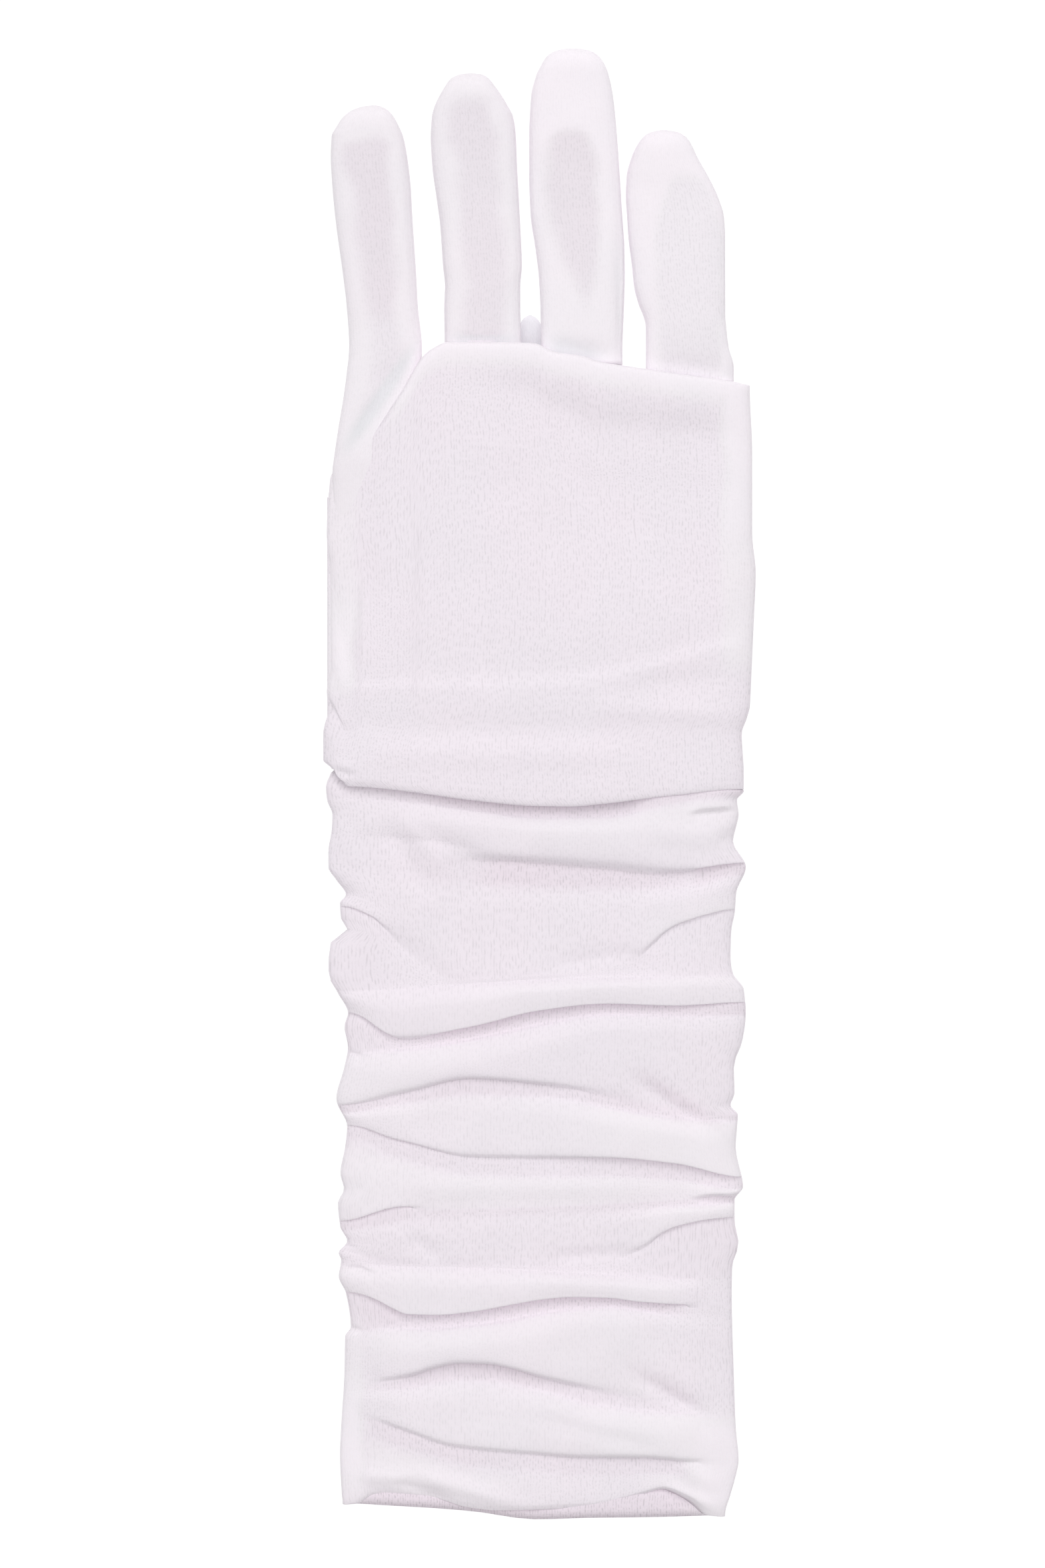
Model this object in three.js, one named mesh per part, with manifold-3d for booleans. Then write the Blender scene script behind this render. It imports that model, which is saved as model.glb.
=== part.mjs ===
// A long ruched dress glove of stretch knit for the left hand, lying flat with its back upwards.
// Millimetres. +X points to the index finger's side, +Y to the fingertips and +Z up.
// The origin lies on the surface that the glove rests on, under the middle of its outline.

import * as THREE from 'three';
import Module from 'manifold-3d';

const wasm = await Module();
wasm.setup();

// Driving dimensions
const CLOTH = 1.0;                // wall of each piece: the knit with its nap and its seam turnings
const CLEARANCE = 0.3;            // space between a piece and the one that it is set into
const PALM_HEIGHT = 12.0;         // lying hand, from the surface to the back of the hand
const PALM_HALF_WIDTH = 53;       // half the width of the palm
const WRIST_HEIGHT = 13.4;        // the lip of the hand, which stands over the first fold of the sleeve
const SIDE_HEIGHT = 10.8;         // the hand beside its long edges
const FINGER_HEIGHT = 8.8;        // a lying finger stall
const FINGER_BASE_HEIGHT = 7.2;   // the same stall where the knuckle roll presses on it
const TIP_ROUNDING = 9.0;         // length over which a stall thins towards its tip
const TIP_HEIGHT = 2.6;           // the closed end of a stall
const THUMB_HEIGHT = 3.0;         // the thumb, pressed flat under the palm
const VALLEY_HEIGHT = 8.6;        // the sleeve between two folds
const SLEEVE_OVERLAP = 3.0;       // how far the sleeve reaches up under the hand's lip
const UNDERSIDE_GROOVE = 0.7;     // depth of the folds on the flattened underside
const CHANNEL_SPARE = 0.8;        // width on each side of the thumb in the channel under the palm

// Segments across the upper side of each form, and the same number again across its underside
const HAND_SEGMENTS = 12;
const SLEEVE_SEGMENTS = 12;
const STALL_SEGMENTS = 6;

// Exponents of the rounded cross-sections: the higher, the tighter the side edges
const BROAD_EDGE = 4;
const STALL_EDGE = 2.6;
const PRESSED_FLAT = 1.04;        // the rounded underside would reach this much further than the surface

const table = (columns, rows) =>
  rows.map((row) => Object.fromEntries(columns.map((column, index) => [column, row[index]])));

// Outlines of the four finger stalls, from the hand to the tip
const OUTLINE = ['y', 'left', 'right'];
const LITTLE_FINGER = table(OUTLINE, [
  [77.5, -49.7, -38.0],
  [81.8, -51.3, -36.0],
  [89.3, -50.2, -32.5],
  [95.9, -49.1, -30.5],
  [109.3, -47.6, -29.4],
  [126.8, -49.1, -30.8],
  [141.8, -51.1, -31.8],
  [156.8, -52.2, -33.1],
  [164.3, -50.7, -35.1],
  [168.2, -46.9, -38.0],
  [169.6, -43.9, -40.3],
]);
const RING_FINGER = table(OUTLINE, [
  [110.5, -23.6, -4.7],
  [124.3, -23.6, -4.7],
  [139.3, -24.8, -4.7],
  [154.3, -26.7, -5.6],
  [166.8, -26.9, -6.6],
  [172.2, -25.0, -9.6],
  [176.3, -22.2, -12.0],
  [177.6, -19.6, -14.9],
]);
const MIDDLE_FINGER = table(OUTLINE, [
  [107.5, 0.4, 20.7],
  [122.0, 0.1, 21.2],
  [134.3, -1.1, 21.2],
  [151.8, -2.6, 20.1],
  [171.8, -2.1, 18.4],
  [179.3, 0.4, 16.4],
  [182.3, 2.6, 13.8],
  [183.8, 5.6, 10.8],
]);
const INDEX_FINGER = table(OUTLINE, [
  [104.0, 26.5, 48.5],
  [116.8, 25.9, 46.4],
  [129.3, 23.1, 46.4],
  [144.3, 21.7, 45.4],
  [151.8, 21.7, 42.2],
  [158.8, 23.8, 38.5],
  [162.3, 26.2, 35.6],
  [163.4, 28.9, 32.8],
]);

// The thumb's axis bends from the hole in the palm to the gap between ring and middle finger
const THUMB_AXIS = new THREE.QuadraticBezierCurve(
  new THREE.Vector2(31, 54),
  new THREE.Vector2(-3, 97),
  new THREE.Vector2(-2.1, 116.4),
);
const THUMB_WIDTHS = table(['along', 'halfWidth'], [
  [0, 11.5],
  [0.2, 11.2],
  [0.4, 9.8],
  [0.58, 7.0],
  [0.72, 4.2],
  [0.84, 3.1],
  [0.95, 2.9],
  [1, 1.7],
]);

// Long edges of the hand and its front edge, where the knuckle roll ends
const HAND_LEFT = table(['y', 'x'], [
  [0, -53.4], [5.9, -54.2], [12.6, -54.1], [19.3, -52.3], [29.3, -52.4], [62.6, -53.2], [78.3, -51.7],
]);
const HAND_RIGHT = table(['y', 'x'], [
  [0, 51.0], [12.6, 50.7], [19.3, 52.6], [42.6, 53.7], [52.6, 54.2], [62.6, 53.2], [99.6, 52.6],
]);
const KNUCKLE_LINE = table(['x', 'y'], [
  [-51.7, 78.3], [-44.1, 85.9], [-34.9, 97.6], [-29.6, 106.4], [-23.2, 110.1],
  [-1.6, 109.8], [10.1, 106.8], [20.1, 104.3], [52.6, 99.6],
]);

// Rings of the hand between the wrist lip, 0, and the knuckle line, 1, with the soft creases across
// the heel of the hand and the dip behind the knuckle roll
const HAND_ROWS = table(['along', 'relief'], [
  [0, 0], [0.05, 0.3], [0.12, -0.1], [0.19, -0.6], [0.27, 0.2], [0.4, 0], [0.55, 0], [0.7, 0], [0.82, -0.3],
  [0.88, -0.9], [0.935, 0.2],
]);
const ROLL_RINGS = table(['behind', 'squeeze'], [
  [3.2, -0.4], [1.0, 0.3], [0, 1.6],
]);

// The folds of the sleeve. Each line crosses it at these seven stations, and a fold runs from its
// foot, the crease on the hand's side, over a crest to its lip, the edge on the arm's side.
const STATIONS = [-51, -34, -17, 0, 17, 34, 51];
const RISE_STATIONS = [-51, 0, 51];
const WRIST_LIP = [-0.5, -1.8, -4.1, -5.6, -5.0, -3.0, -1.4];
const FOLDS = table(['foot', 'lip', 'rise'], [
  [[-3.6, -4.9, -6.7, -8.3, -8.0, -4.4, -3.4], [-14.5, -16.0, -17.7, -18.9, -20.0, -21.3, -19.4], [2.6, 3.6, 2.8]],
  [[-16.5, -18.0, -19.5, -20.6, -21.8, -23.0, -21.2], [-30.6, -39.3, -47.0, -46.8, -43.7, -35.2, -31.4], [2.6, 1.6, 3.6]],
  [[-51.7, -50.8, -49.7, -48.6, -48.3, -48.3, -48.6], [-57.2, -62.6, -61.6, -57.8, -54.9, -55.6, -54.6], [3.0, 4.4, 3.6]],
  [[-67.1, -66.4, -63.6, -59.7, -56.6, -57.1, -57.1], [-79.9, -76.5, -73.1, -74.4, -76.7, -79.2, -80.4], [3.2, 3.0, 1.8]],
  [[-82.0, -79.4, -76.7, -77.5, -80.3, -83.2, -83.9], [-85.2, -89.0, -92.5, -92.8, -93.1, -94.7, -98.1], [2.4, 3.6, 4.2]],
  [[-87.0, -91.0, -94.5, -95.0, -95.2, -97.0, -100.0], [-109.1, -105.4, -105.0, -104.6, -104.0, -103.2, -102.8], [2.8, 1.4, 2.4]],
  [[-111.0, -107.5, -107.0, -106.6, -106.0, -105.2, -104.4], [-115.9, -118.9, -118.8, -118.8, -117.1, -110.4, -108.4], [2.2, 1.2, 3.2]],
  [[-119.6, -121.0, -121.1, -121.3, -122.4, -122.3, -122.1], [-126.8, -131.9, -132.4, -129.6, -128.6, -129.7, -130.1], [2.8, 4.2, 2.0]],
  [[-135.8, -135.9, -133.8, -131.1, -130.3, -131.3, -131.8], [-149.0, -147.4, -144.1, -147.4, -150.5, -153.0, -154.9], [1.6, 3.0, 1.2]],
  [[-151.5, -150.1, -147.5, -150.2, -154.4, -156.7, -157.1], [-155.9, -160.7, -165.2, -166.7, -167.4, -167.7, -167.9], [1.2, 3.4, 2.4]],
  [[-158.5, -163.0, -167.0, -168.5, -169.2, -169.6, -169.8], [-177.1, -177.4, -179.8, -181.2, -180.9, -175.4, -182.6], [1.4, 2.6, 1.6]],
]);
const UNDER_HEM = [-179.6, -180.3, -181.5, -183.4, -182.9, -182.8, -182.6];

// Heights along a fold, as shares of the way from its foot to its lip and of its rise
const FOLD_PROFILE = table(['along', 'share'], [
  [0, 0],
  [0.2, 0.78],
  [0.55, 1],
  [1, 0.72],
]);

// Outermost and innermost points of the side gathers
const LEFT_GATHERS = table(['y', 'x'], [
  [-0.8, -53.4], [-8, -51.8], [-19, -52.8], [-27.8, -48.4], [-34, -49.6], [-37.1, -48.2], [-41.4, -52.6],
  [-57.4, -48.2], [-64, -48.2], [-78.8, -50.8], [-86, -48.2], [-97.4, -49.8], [-104.8, -50.4], [-114.4, -48.3],
  [-123.2, -50.2], [-135.8, -47.4], [-147.4, -48.8], [-167.4, -49.9], [-179.6, -49.2],
]);
const RIGHT_GATHERS = table(['y', 'x'], [
  [-1.8, 50.9], [-14.4, 48.4], [-20.8, 51.6], [-31.8, 48.9], [-44.1, 47.8], [-51.4, 51.1], [-57.4, 51.6],
  [-70.8, 48.6], [-80.4, 48.0], [-90.8, 49.1], [-100.8, 50.9], [-106, 48.8], [-115.1, 49.8], [-127.4, 48.1],
  [-160.8, 49.1], [-169.1, 49.8], [-182.6, 46.8],
]);

// Arithmetic that the forms share
const mix = (from, to, share) => from + (to - from) * share;
const clamp = (value, low, high) => Math.min(high, Math.max(low, value));
const ease = (share) => {
  const t = clamp(share, 0, 1);
  return t * t * (3 - 2 * t);
};

/** The value of a column where another column, which rises or falls steadily, has the value `at`. */
function readTable(rows, keyColumn, valueColumn, at) {
  const rising = rows[rows.length - 1][keyColumn] > rows[0][keyColumn];
  const ordered = rising ? rows : [...rows].reverse();
  if (at <= ordered[0][keyColumn]) return ordered[0][valueColumn];
  for (let index = 1; index < ordered.length; index += 1) {
    const before = ordered[index - 1];
    const after = ordered[index];
    if (at <= after[keyColumn]) {
      const share = (at - before[keyColumn]) / (after[keyColumn] - before[keyColumn]);
      return mix(before[valueColumn], after[valueColumn], share);
    }
  }
  return ordered[ordered.length - 1][valueColumn];
}

/** A value listed at stations across the glove, read at x. */
const readStations = (stations, values, x) =>
  readTable(stations.map((station, index) => ({ station, value: values[index] })), 'station', 'value', x);

/** How much of its half-height a section keeps at a share of its width, 1 in the middle, 0 at an edge. */
const edgeRounding = (share, exponent) => (1 - Math.abs(2 * share - 1) ** exponent) ** (1 / exponent);

/**
 * A closed ring of points round a flattened section: along its upper side from left to right and back
 * along its underside, which is pressed flat except beside its edges. lineY, underLineY, bottom and
 * top are functions of x. A section with an underside at the height `sole` all the way across is
 * the channel that a piece lies in.
 */
function sectionRing({ left, right, lineY, underLineY = lineY, bottom, top, sole }, segments, exponent) {
  const upper = [];
  const lower = [];
  for (let step = 0; step <= segments; step += 1) {
    const share = 0.5 - 0.5 * Math.cos((Math.PI * step) / segments);
    const x = mix(left, right, share);
    const low = bottom(x);
    const high = top(x);
    const middle = (low + high) / 2;
    const reach = ((high - low) / 2) * edgeRounding(share, exponent);
    upper.push([x, lineY(x), middle + reach]);
    const under = sole ?? Math.max(low, middle - reach * PRESSED_FLAT);
    if (step > 0 && step < segments) lower.push([x, underLineY(x), under]);
  }
  return [...upper, ...lower.reverse()];
}

/** A closed solid through rings of equal length, capped at both ends. */
function loft(rings) {
  const count = rings[0].length;
  const half = count / 2;
  const faces = [];
  const quad = (a, b, c, d) => faces.push([a, b, c], [a, c, d]);
  for (let row = 0; row + 1 < rings.length; row += 1) {
    for (let point = 0; point < count; point += 1) {
      const next = (point + 1) % count;
      quad(row * count + point, row * count + next, (row + 1) * count + next, (row + 1) * count + point);
    }
  }
  const cap = (row, facesBack) => {
    const at = (point) => row * count + (point % count);
    for (let point = 0; point < half; point += 1) {
      const corners = [at(point), at(point + 1), at(count - point - 1), at(count - point)];
      const distinct = [...new Set(corners)];
      if (facesBack) distinct.reverse();
      faces.push([distinct[0], distinct[1], distinct[2]]);
      if (distinct.length === 4) faces.push([distinct[0], distinct[2], distinct[3]]);
    }
  };
  cap(0, true);
  cap(rings.length - 1, false);
  const mesh = new wasm.Mesh({
    numProp: 3,
    vertProperties: new Float32Array(rings.flat(2)),
    triVerts: new Uint32Array(faces.flat()),
  });
  return new wasm.Manifold(mesh);
}

/**
 * A finger stall as a solid, grown by `grow` all round, or shrunk where it is negative. Its base is
 * held up by its lift, over the palm's wall, and it runs on by reachBack past its open end.
 */
function stallSolid({ outline, lift, inset }, { grow, reachBack = 0 }) {
  const base = outline[0].y;
  const end = outline[outline.length - 1].y;
  const rows = [{ ...outline[0], y: base - inset - reachBack }, ...outline];
  const rings = rows.map(({ y, left, right }, index) => {
    const fromTip = end - y;
    const rounding = Math.sqrt(1 - (1 - clamp(fromTip / TIP_ROUNDING, 0, 1)) ** 2);
    const full = mix(FINGER_BASE_HEIGHT, FINGER_HEIGHT, ease((y - base) / 40));
    const height = mix(TIP_HEIGHT, full, rounding);
    const raised = lift * (1 - ease((y - base) / 46)) + (1 - rounding) * 0.8;
    const atTip = index === rows.length - 1;
    const halfWidth = Math.max((right - left) / 2 + grow, 0.8);
    const centre = (left + right) / 2;
    const halfHeight = Math.max(height / 2 + grow, 0.5);
    return sectionRing({
      left: centre - halfWidth,
      right: centre + halfWidth,
      lineY: () => y + (atTip ? grow : 0),
      bottom: () => raised + height / 2 - halfHeight,
      top: () => raised + height / 2 + halfHeight,
    }, STALL_SEGMENTS, STALL_EDGE);
  });
  return loft(rings);
}

/**
 * The thumb stall as a solid, grown by `grow`, from a share of its length to its tip. With a sole it
 * is the channel that the thumb lies in, open to the surface below and wider than the thumb.
 */
function thumbSolid({ grow, start, sole }) {
  const shares = [start, ...THUMB_WIDTHS.map((row) => row.along).filter((along) => along > start)];
  const rings = shares.map((along) => {
    const spare = sole === undefined ? 0 : CHANNEL_SPARE;
    const halfWidth = Math.max(readTable(THUMB_WIDTHS, 'along', 'halfWidth', along) + grow + spare, 0.8);
    const raised = 1.4 * (1 - ease(along / 0.25));
    const height = mix(TIP_HEIGHT, THUMB_HEIGHT, clamp((1 - along) / 0.05, 0, 1));
    const halfHeight = Math.max(height / 2 + grow, 0.5);
    const centre = THUMB_AXIS.getPoint(Math.max(along, 0));
    const axis = THUMB_AXIS.getTangent(Math.max(along, 0));
    const past = along < 0 ? along * THUMB_AXIS.getLength() : 0;
    const ring = sectionRing({
      left: -halfWidth,
      right: halfWidth,
      lineY: () => past + (along === 1 ? grow : 0),
      bottom: () => raised + height / 2 - halfHeight,
      top: () => raised + height / 2 + halfHeight,
      sole,
    }, STALL_SEGMENTS, STALL_EDGE);
    return ring.map(([side, forward, z]) => [
      centre.x + axis.x * forward + axis.y * side,
      centre.y + axis.y * forward - axis.x * side,
      z,
    ]);
  });
  return loft(rings);
}

/** The hand as a solid, shrunk by `inset` all round, and run on past the wrist lip by `reachBack`. */
function handSolid({ inset, reachBack }) {
  const front = (x) => readTable(KNUCKLE_LINE, 'x', 'y', x) - inset;
  const back = (x) => readStations(STATIONS, WRIST_LIP, x);
  const leftEnd = KNUCKLE_LINE[0].y;
  const rightEnd = KNUCKLE_LINE[KNUCKLE_LINE.length - 1].y;
  const ringAt = ({ along, relief = 0, behind = 0, squeeze = 0 }) => {
    const crown = mix(WRIST_HEIGHT, PALM_HEIGHT, ease(along / 0.3)) + relief;
    const sideDrop = (1 - SIDE_HEIGHT / PALM_HEIGHT) * ease((along - 0.1) / 0.3);
    return sectionRing({
      left: readTable(HAND_LEFT, 'y', 'x', mix(0, leftEnd, along)) + inset,
      right: readTable(HAND_RIGHT, 'y', 'x', mix(0, rightEnd, along)) - inset,
      lineY: (x) => mix(back(x), front(x), along) - behind,
      bottom: () => inset + Math.max(squeeze, 0),
      top: (x) => crown * (1 - sideDrop * Math.abs(x / PALM_HALF_WIDTH) ** 3) - inset - squeeze,
    }, HAND_SEGMENTS, BROAD_EDGE);
  };
  const rings = HAND_ROWS.map(ringAt);
  if (reachBack > 0) rings.unshift(ringAt({ along: 0, behind: reachBack }));
  // The knuckle roll: three rings round its nose
  for (const { behind, squeeze } of ROLL_RINGS) rings.push(ringAt({ along: 1, behind, squeeze }));
  return loft(rings);
}

/** The rows of the sleeve's surface, from the lip of the hand to the arm mouth. */
function sleeveRows() {
  const rows = [];
  FOLDS.forEach((fold, foldIndex) => {
    FOLD_PROFILE.forEach(({ along, share }) => {
      rows.push({
        lineY: (x) => mix(readStations(STATIONS, fold.foot, x), readStations(STATIONS, fold.lip, x), along),
        rise: (x) => share * readStations(RISE_STATIONS, fold.rise, x),
        groove: along === 0 && foldIndex > 0 ? UNDERSIDE_GROOVE : 0,
      });
    });
  });
  return rows;
}

/** The sleeve as a solid, shrunk by `inset` all round, and run on past both ends by `reachOut`. */
function sleeveSolid({ inset, reachOut }) {
  const tuck = CLOTH + CLEARANCE;
  const rows = sleeveRows();
  const underHem = (x) => readStations(STATIONS, UNDER_HEM, x);
  // Under the hand's lip the tube is narrow enough to lie inside the hand
  const tucked = (shift) => ({
    left: readTable(HAND_LEFT, 'y', 'x', 0) + tuck + inset,
    right: readTable(HAND_RIGHT, 'y', 'x', 0) - tuck - inset,
    lineY: (x) => readStations(STATIONS, WRIST_LIP, x) + shift,
    bottom: () => tuck + inset,
    top: () => WRIST_HEIGHT - tuck - inset,
  });
  const sections = [tucked(SLEEVE_OVERLAP + reachOut), tucked(-CLEARANCE * 2)];
  rows.forEach((row, index) => {
    const neighbours = [rows[index - 1], row, rows[index + 1]].filter(Boolean);
    const lowest = (x) => Math.min(...neighbours.map((other) => other.rise(x)));
    const rise = inset > 0 ? lowest : row.rise;
    const groove = inset > 0 ? Math.max(...neighbours.map((other) => other.groove)) : row.groove;
    sections.push({
      left: readTable(LEFT_GATHERS, 'y', 'x', row.lineY(STATIONS[0])) + inset,
      right: readTable(RIGHT_GATHERS, 'y', 'x', row.lineY(STATIONS[6])) - inset,
      lineY: row.lineY,
      underLineY: index === rows.length - 1 ? underHem : row.lineY,
      bottom: () => groove + inset,
      top: (x) => VALLEY_HEIGHT + rise(x) - inset,
    });
  });
  if (reachOut > 0) {
    const mouth = sections[sections.length - 1];
    const past = (x) => Math.min(mouth.lineY(x), underHem(x)) - reachOut;
    sections.push({ ...mouth, lineY: past, underLineY: past });
  }
  return loft(sections.reverse().map((section) => sectionRing(section, SLEEVE_SEGMENTS, BROAD_EDGE)));
}

// Each stall with the height that its base is held at and how far it reaches into the hand
const STALLS = {
  little_finger: { outline: LITTLE_FINGER, lift: 1.4, inset: 4 },
  ring_finger: { outline: RING_FINGER, lift: 2.0, inset: 3 },
  middle_finger: { outline: MIDDLE_FINGER, lift: 2.0, inset: 3 },
  index_finger: { outline: INDEX_FINGER, lift: 1.4, inset: 4 },
};

/** A hollow stall, closed at its tip and open at its base. */
function makeStall(stall) {
  return stallSolid(stall, { grow: 0 }).subtract(stallSolid(stall, { grow: -CLOTH, reachBack: 1 }));
}

function makeThumb() {
  return thumbSolid({ grow: 0, start: 0 }).subtract(thumbSolid({ grow: -CLOTH, start: -0.02 }));
}

function makeHand() {
  // The palm's wall runs over the thumb's channel, and the thumb's base comes up through it
  const overThumb = thumbSolid({ grow: CLEARANCE + CLOTH, start: 0.1, sole: -1 });
  const hollow = handSolid({ inset: CLOTH, reachBack: 2 }).subtract(overThumb);
  let hand = handSolid({ inset: 0, reachBack: 0 }).subtract(hollow);
  hand = hand.subtract(thumbSolid({ grow: CLEARANCE, start: 0.13, sole: -1 }));
  hand = hand.subtract(thumbSolid({ grow: CLEARANCE, start: 0 }));
  for (const stall of Object.values(STALLS)) {
    hand = hand.subtract(stallSolid(stall, { grow: CLEARANCE }));
  }
  return hand;
}

function makeSleeve() {
  return sleeveSolid({ inset: 0, reachOut: 0 }).subtract(sleeveSolid({ inset: CLOTH, reachOut: 2 }));
}

/** A named mesh with its own knit material, from a solid. */
function knitMesh(name, solid) {
  const { vertProperties, triVerts } = solid.getMesh();
  const geometry = new THREE.BufferGeometry();
  geometry.setAttribute('position', new THREE.BufferAttribute(new Float32Array(vertProperties), 3));
  geometry.setIndex(new THREE.BufferAttribute(new Uint32Array(triVerts), 1));
  geometry.computeVertexNormals();
  const material = new THREE.MeshStandardMaterial({ color: 0xece5ec, roughness: 0.9, metalness: 0 });
  const mesh = new THREE.Mesh(geometry, material);
  mesh.name = name;
  return mesh;
}

const glove = new THREE.Group();
glove.name = 'ruched_glove';
glove.add(knitMesh('hand', makeHand()));
glove.add(knitMesh('ruched_sleeve', makeSleeve()));
for (const [name, stall] of Object.entries(STALLS)) glove.add(knitMesh(name, makeStall(stall)));
glove.add(knitMesh('thumb', makeThumb()));

export default glove;
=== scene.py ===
"""A long ruched dress glove of fine white stretch knit, lying flat with its back upwards.

Shapes are worked out in millimetres, +X to the index finger's side, +Y to the fingertips and
+Z up, and turned into metres where each mesh is made.
"""
import math

import bpy
import numpy as np
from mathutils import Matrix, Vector


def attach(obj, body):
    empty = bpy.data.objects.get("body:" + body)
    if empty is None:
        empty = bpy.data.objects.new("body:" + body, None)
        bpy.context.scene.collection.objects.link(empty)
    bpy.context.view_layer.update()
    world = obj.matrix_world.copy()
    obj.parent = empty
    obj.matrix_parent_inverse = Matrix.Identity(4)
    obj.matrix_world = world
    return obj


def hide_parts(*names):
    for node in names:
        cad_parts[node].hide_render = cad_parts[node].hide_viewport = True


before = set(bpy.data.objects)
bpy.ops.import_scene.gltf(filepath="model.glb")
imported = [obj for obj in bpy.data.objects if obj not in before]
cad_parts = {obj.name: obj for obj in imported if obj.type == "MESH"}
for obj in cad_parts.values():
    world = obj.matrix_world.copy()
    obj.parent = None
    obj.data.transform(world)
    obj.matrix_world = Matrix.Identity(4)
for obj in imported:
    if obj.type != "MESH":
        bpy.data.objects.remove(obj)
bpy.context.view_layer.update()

MM = 0.001

# The photograph's frame, seen from straight above
FRAME_HEIGHT = 392.0                # of the floor, at the height where the outline is widest
FRAME_CENTRE = (-4.25, -0.08)
OUTLINE_HEIGHT = 4.5
LENS = 120.0
SENSOR = 36.0

# The cloth
CLOTH = 1.0                         # wall of each piece, with its nap
SEAM_GAP = 0.3                      # between a piece and the one that it is set into
RIB_PITCH = 0.75                    # from one upright rib of the knit to the next
ROW_PITCH = 0.62                    # from one row of stitches to the next

# Cross-sections
BROAD_EDGE = 4.0                    # exponent of the flattened tubes of hand and sleeve
STALL_EDGE = 3.0                    # exponent of the finger stalls and the thumb
EDGE_HEIGHT = 4.2                   # how high the outermost line of hand and sleeve lies
PRESSED_FLAT = 1.04                 # how much of the underside the floor flattens
CLOSER_AT_EDGES = 0.55              # how much closer points lie together towards both edges

# The sleeve's folds are measured at these stations across it
STATIONS = (-51, -34, -17, 0, 17, 34, 51)
HALF_SPAN = 51.0

# The noise's lattice and how far it is shifted against the glove
NOISE_CELLS = 64
NOISE_SHIFT = (31.7, 27.3)

# What each row of the tables of swells and creases says
SWELL_COLUMNS = ("start", "end", "width", "height")
CREASE_COLUMNS = ("points", "drop", "width", "reach")


def smooth(pairs):
    """A smooth function through (place, value) pairs, level beyond the first and the last."""
    pairs = sorted(pairs)
    places = np.array([place for place, _ in pairs], float)
    values = np.array([value for _, value in pairs], float)
    steps = np.diff(places)
    slopes = np.diff(values) / steps
    before, after = slopes[:-1], slopes[1:]
    same_way = before * after > 0
    tangents = np.zeros(len(places))
    tangents[1:-1][same_way] = (2 * before * after)[same_way] / (before + after)[same_way]

    def read(at):
        at = np.clip(np.asarray(at, float), places[0], places[-1])
        index = np.clip(np.searchsorted(places, at, side="right") - 1, 0, len(steps) - 1)
        step = steps[index]
        t = (at - places[index]) / step
        start = (1 + 2 * t) * (1 - t) ** 2 * values[index]
        start_slope = t * (1 - t) ** 2 * step * tangents[index]
        end = t * t * (3 - 2 * t) * values[index + 1]
        end_slope = t * t * (t - 1) * step * tangents[index + 1]
        return start + start_slope + end + end_slope

    return read


def line(*values):
    """A line across the sleeve, measured at the stations."""
    return smooth(zip(STATIONS, values))


def across(*pairs):
    """A size that changes across the sleeve, as (x, size) pairs, or one size all the way."""
    if len(pairs) == 1:
        return smooth([(-HALF_SPAN, pairs[0]), (HALF_SPAN, pairs[0])])
    return smooth(pairs)


def table(columns, rows):
    return [dict(zip(columns, row)) for row in rows]


def edges(rows):
    """The left and the right edge of a form, from rows of (y, left, right)."""
    return [smooth([(row[0], row[side]) for row in rows]) for side in (1, 2)]


def mix(start, end, share):
    return start + (end - start) * share


def ease(share):
    t = np.clip(share, 0.0, 1.0)
    return t * t * (3 - 2 * t)


def rise(value, start, end):
    """0 up to the start and 1 from the end on, with a smooth change between them."""
    return ease((value - start) / (end - start))


def bell(distance, width):
    return np.exp(-((distance / width) ** 2))


def soft_noise(x, y, size, seed):
    """Smooth unevenness between -1 and 1, with bumps about `size` across."""
    lattice = np.random.RandomState(seed).uniform(-1, 1, (NOISE_CELLS, NOISE_CELLS))
    u, v = x / size + NOISE_SHIFT[0], y / size + NOISE_SHIFT[1]
    column, row = np.floor(u).astype(int), np.floor(v).astype(int)
    across_cell, along_cell = ease(u - column), ease(v - row)
    columns = (column % NOISE_CELLS, (column + 1) % NOISE_CELLS)
    near, far = (
        mix(lattice[cell, columns[0]], lattice[cell, columns[1]], across_cell)
        for cell in (row % NOISE_CELLS, (row + 1) % NOISE_CELLS)
    )
    return mix(near, far, along_cell)


# Sleeve
# A fold runs from its head, where the cloth starts to rise, over its crest to its lip. The crest's
# place is a share of that way, and floor, crown and brow are the heights of head, crest and lip.
# steep is how abruptly the head rises. drop is how far the lip overhangs the next fold, and a
# negative drop is the width of a soft slope without an overhang.
# white is how much whiter the doubled cloth after the head is painted, as painted light where the fold
# rises towards the lamps, and faded how much at the lip; shade is how much painted shade darkens the cloth
# below the lip and makes it rosier.
WRIST_LIP = smooth([
    (-52, 3.7), (-50.5, 3.0), (-48, -0.6), (-43, -0.9), (-34, -1.8), (-17, -4.1), (0, -5.6),
    (8, -5.7), (17, -5.0), (30, -3.4), (34, -3.0), (51, -1.4),
])

# Painted shade: how much the cloth below the lip of the hand is painted darker and rosier
WRIST_SHADE = smooth([(-51, 0.12), (-34, 0.15), (-17, 0.48), (51, 0.5)])

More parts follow.
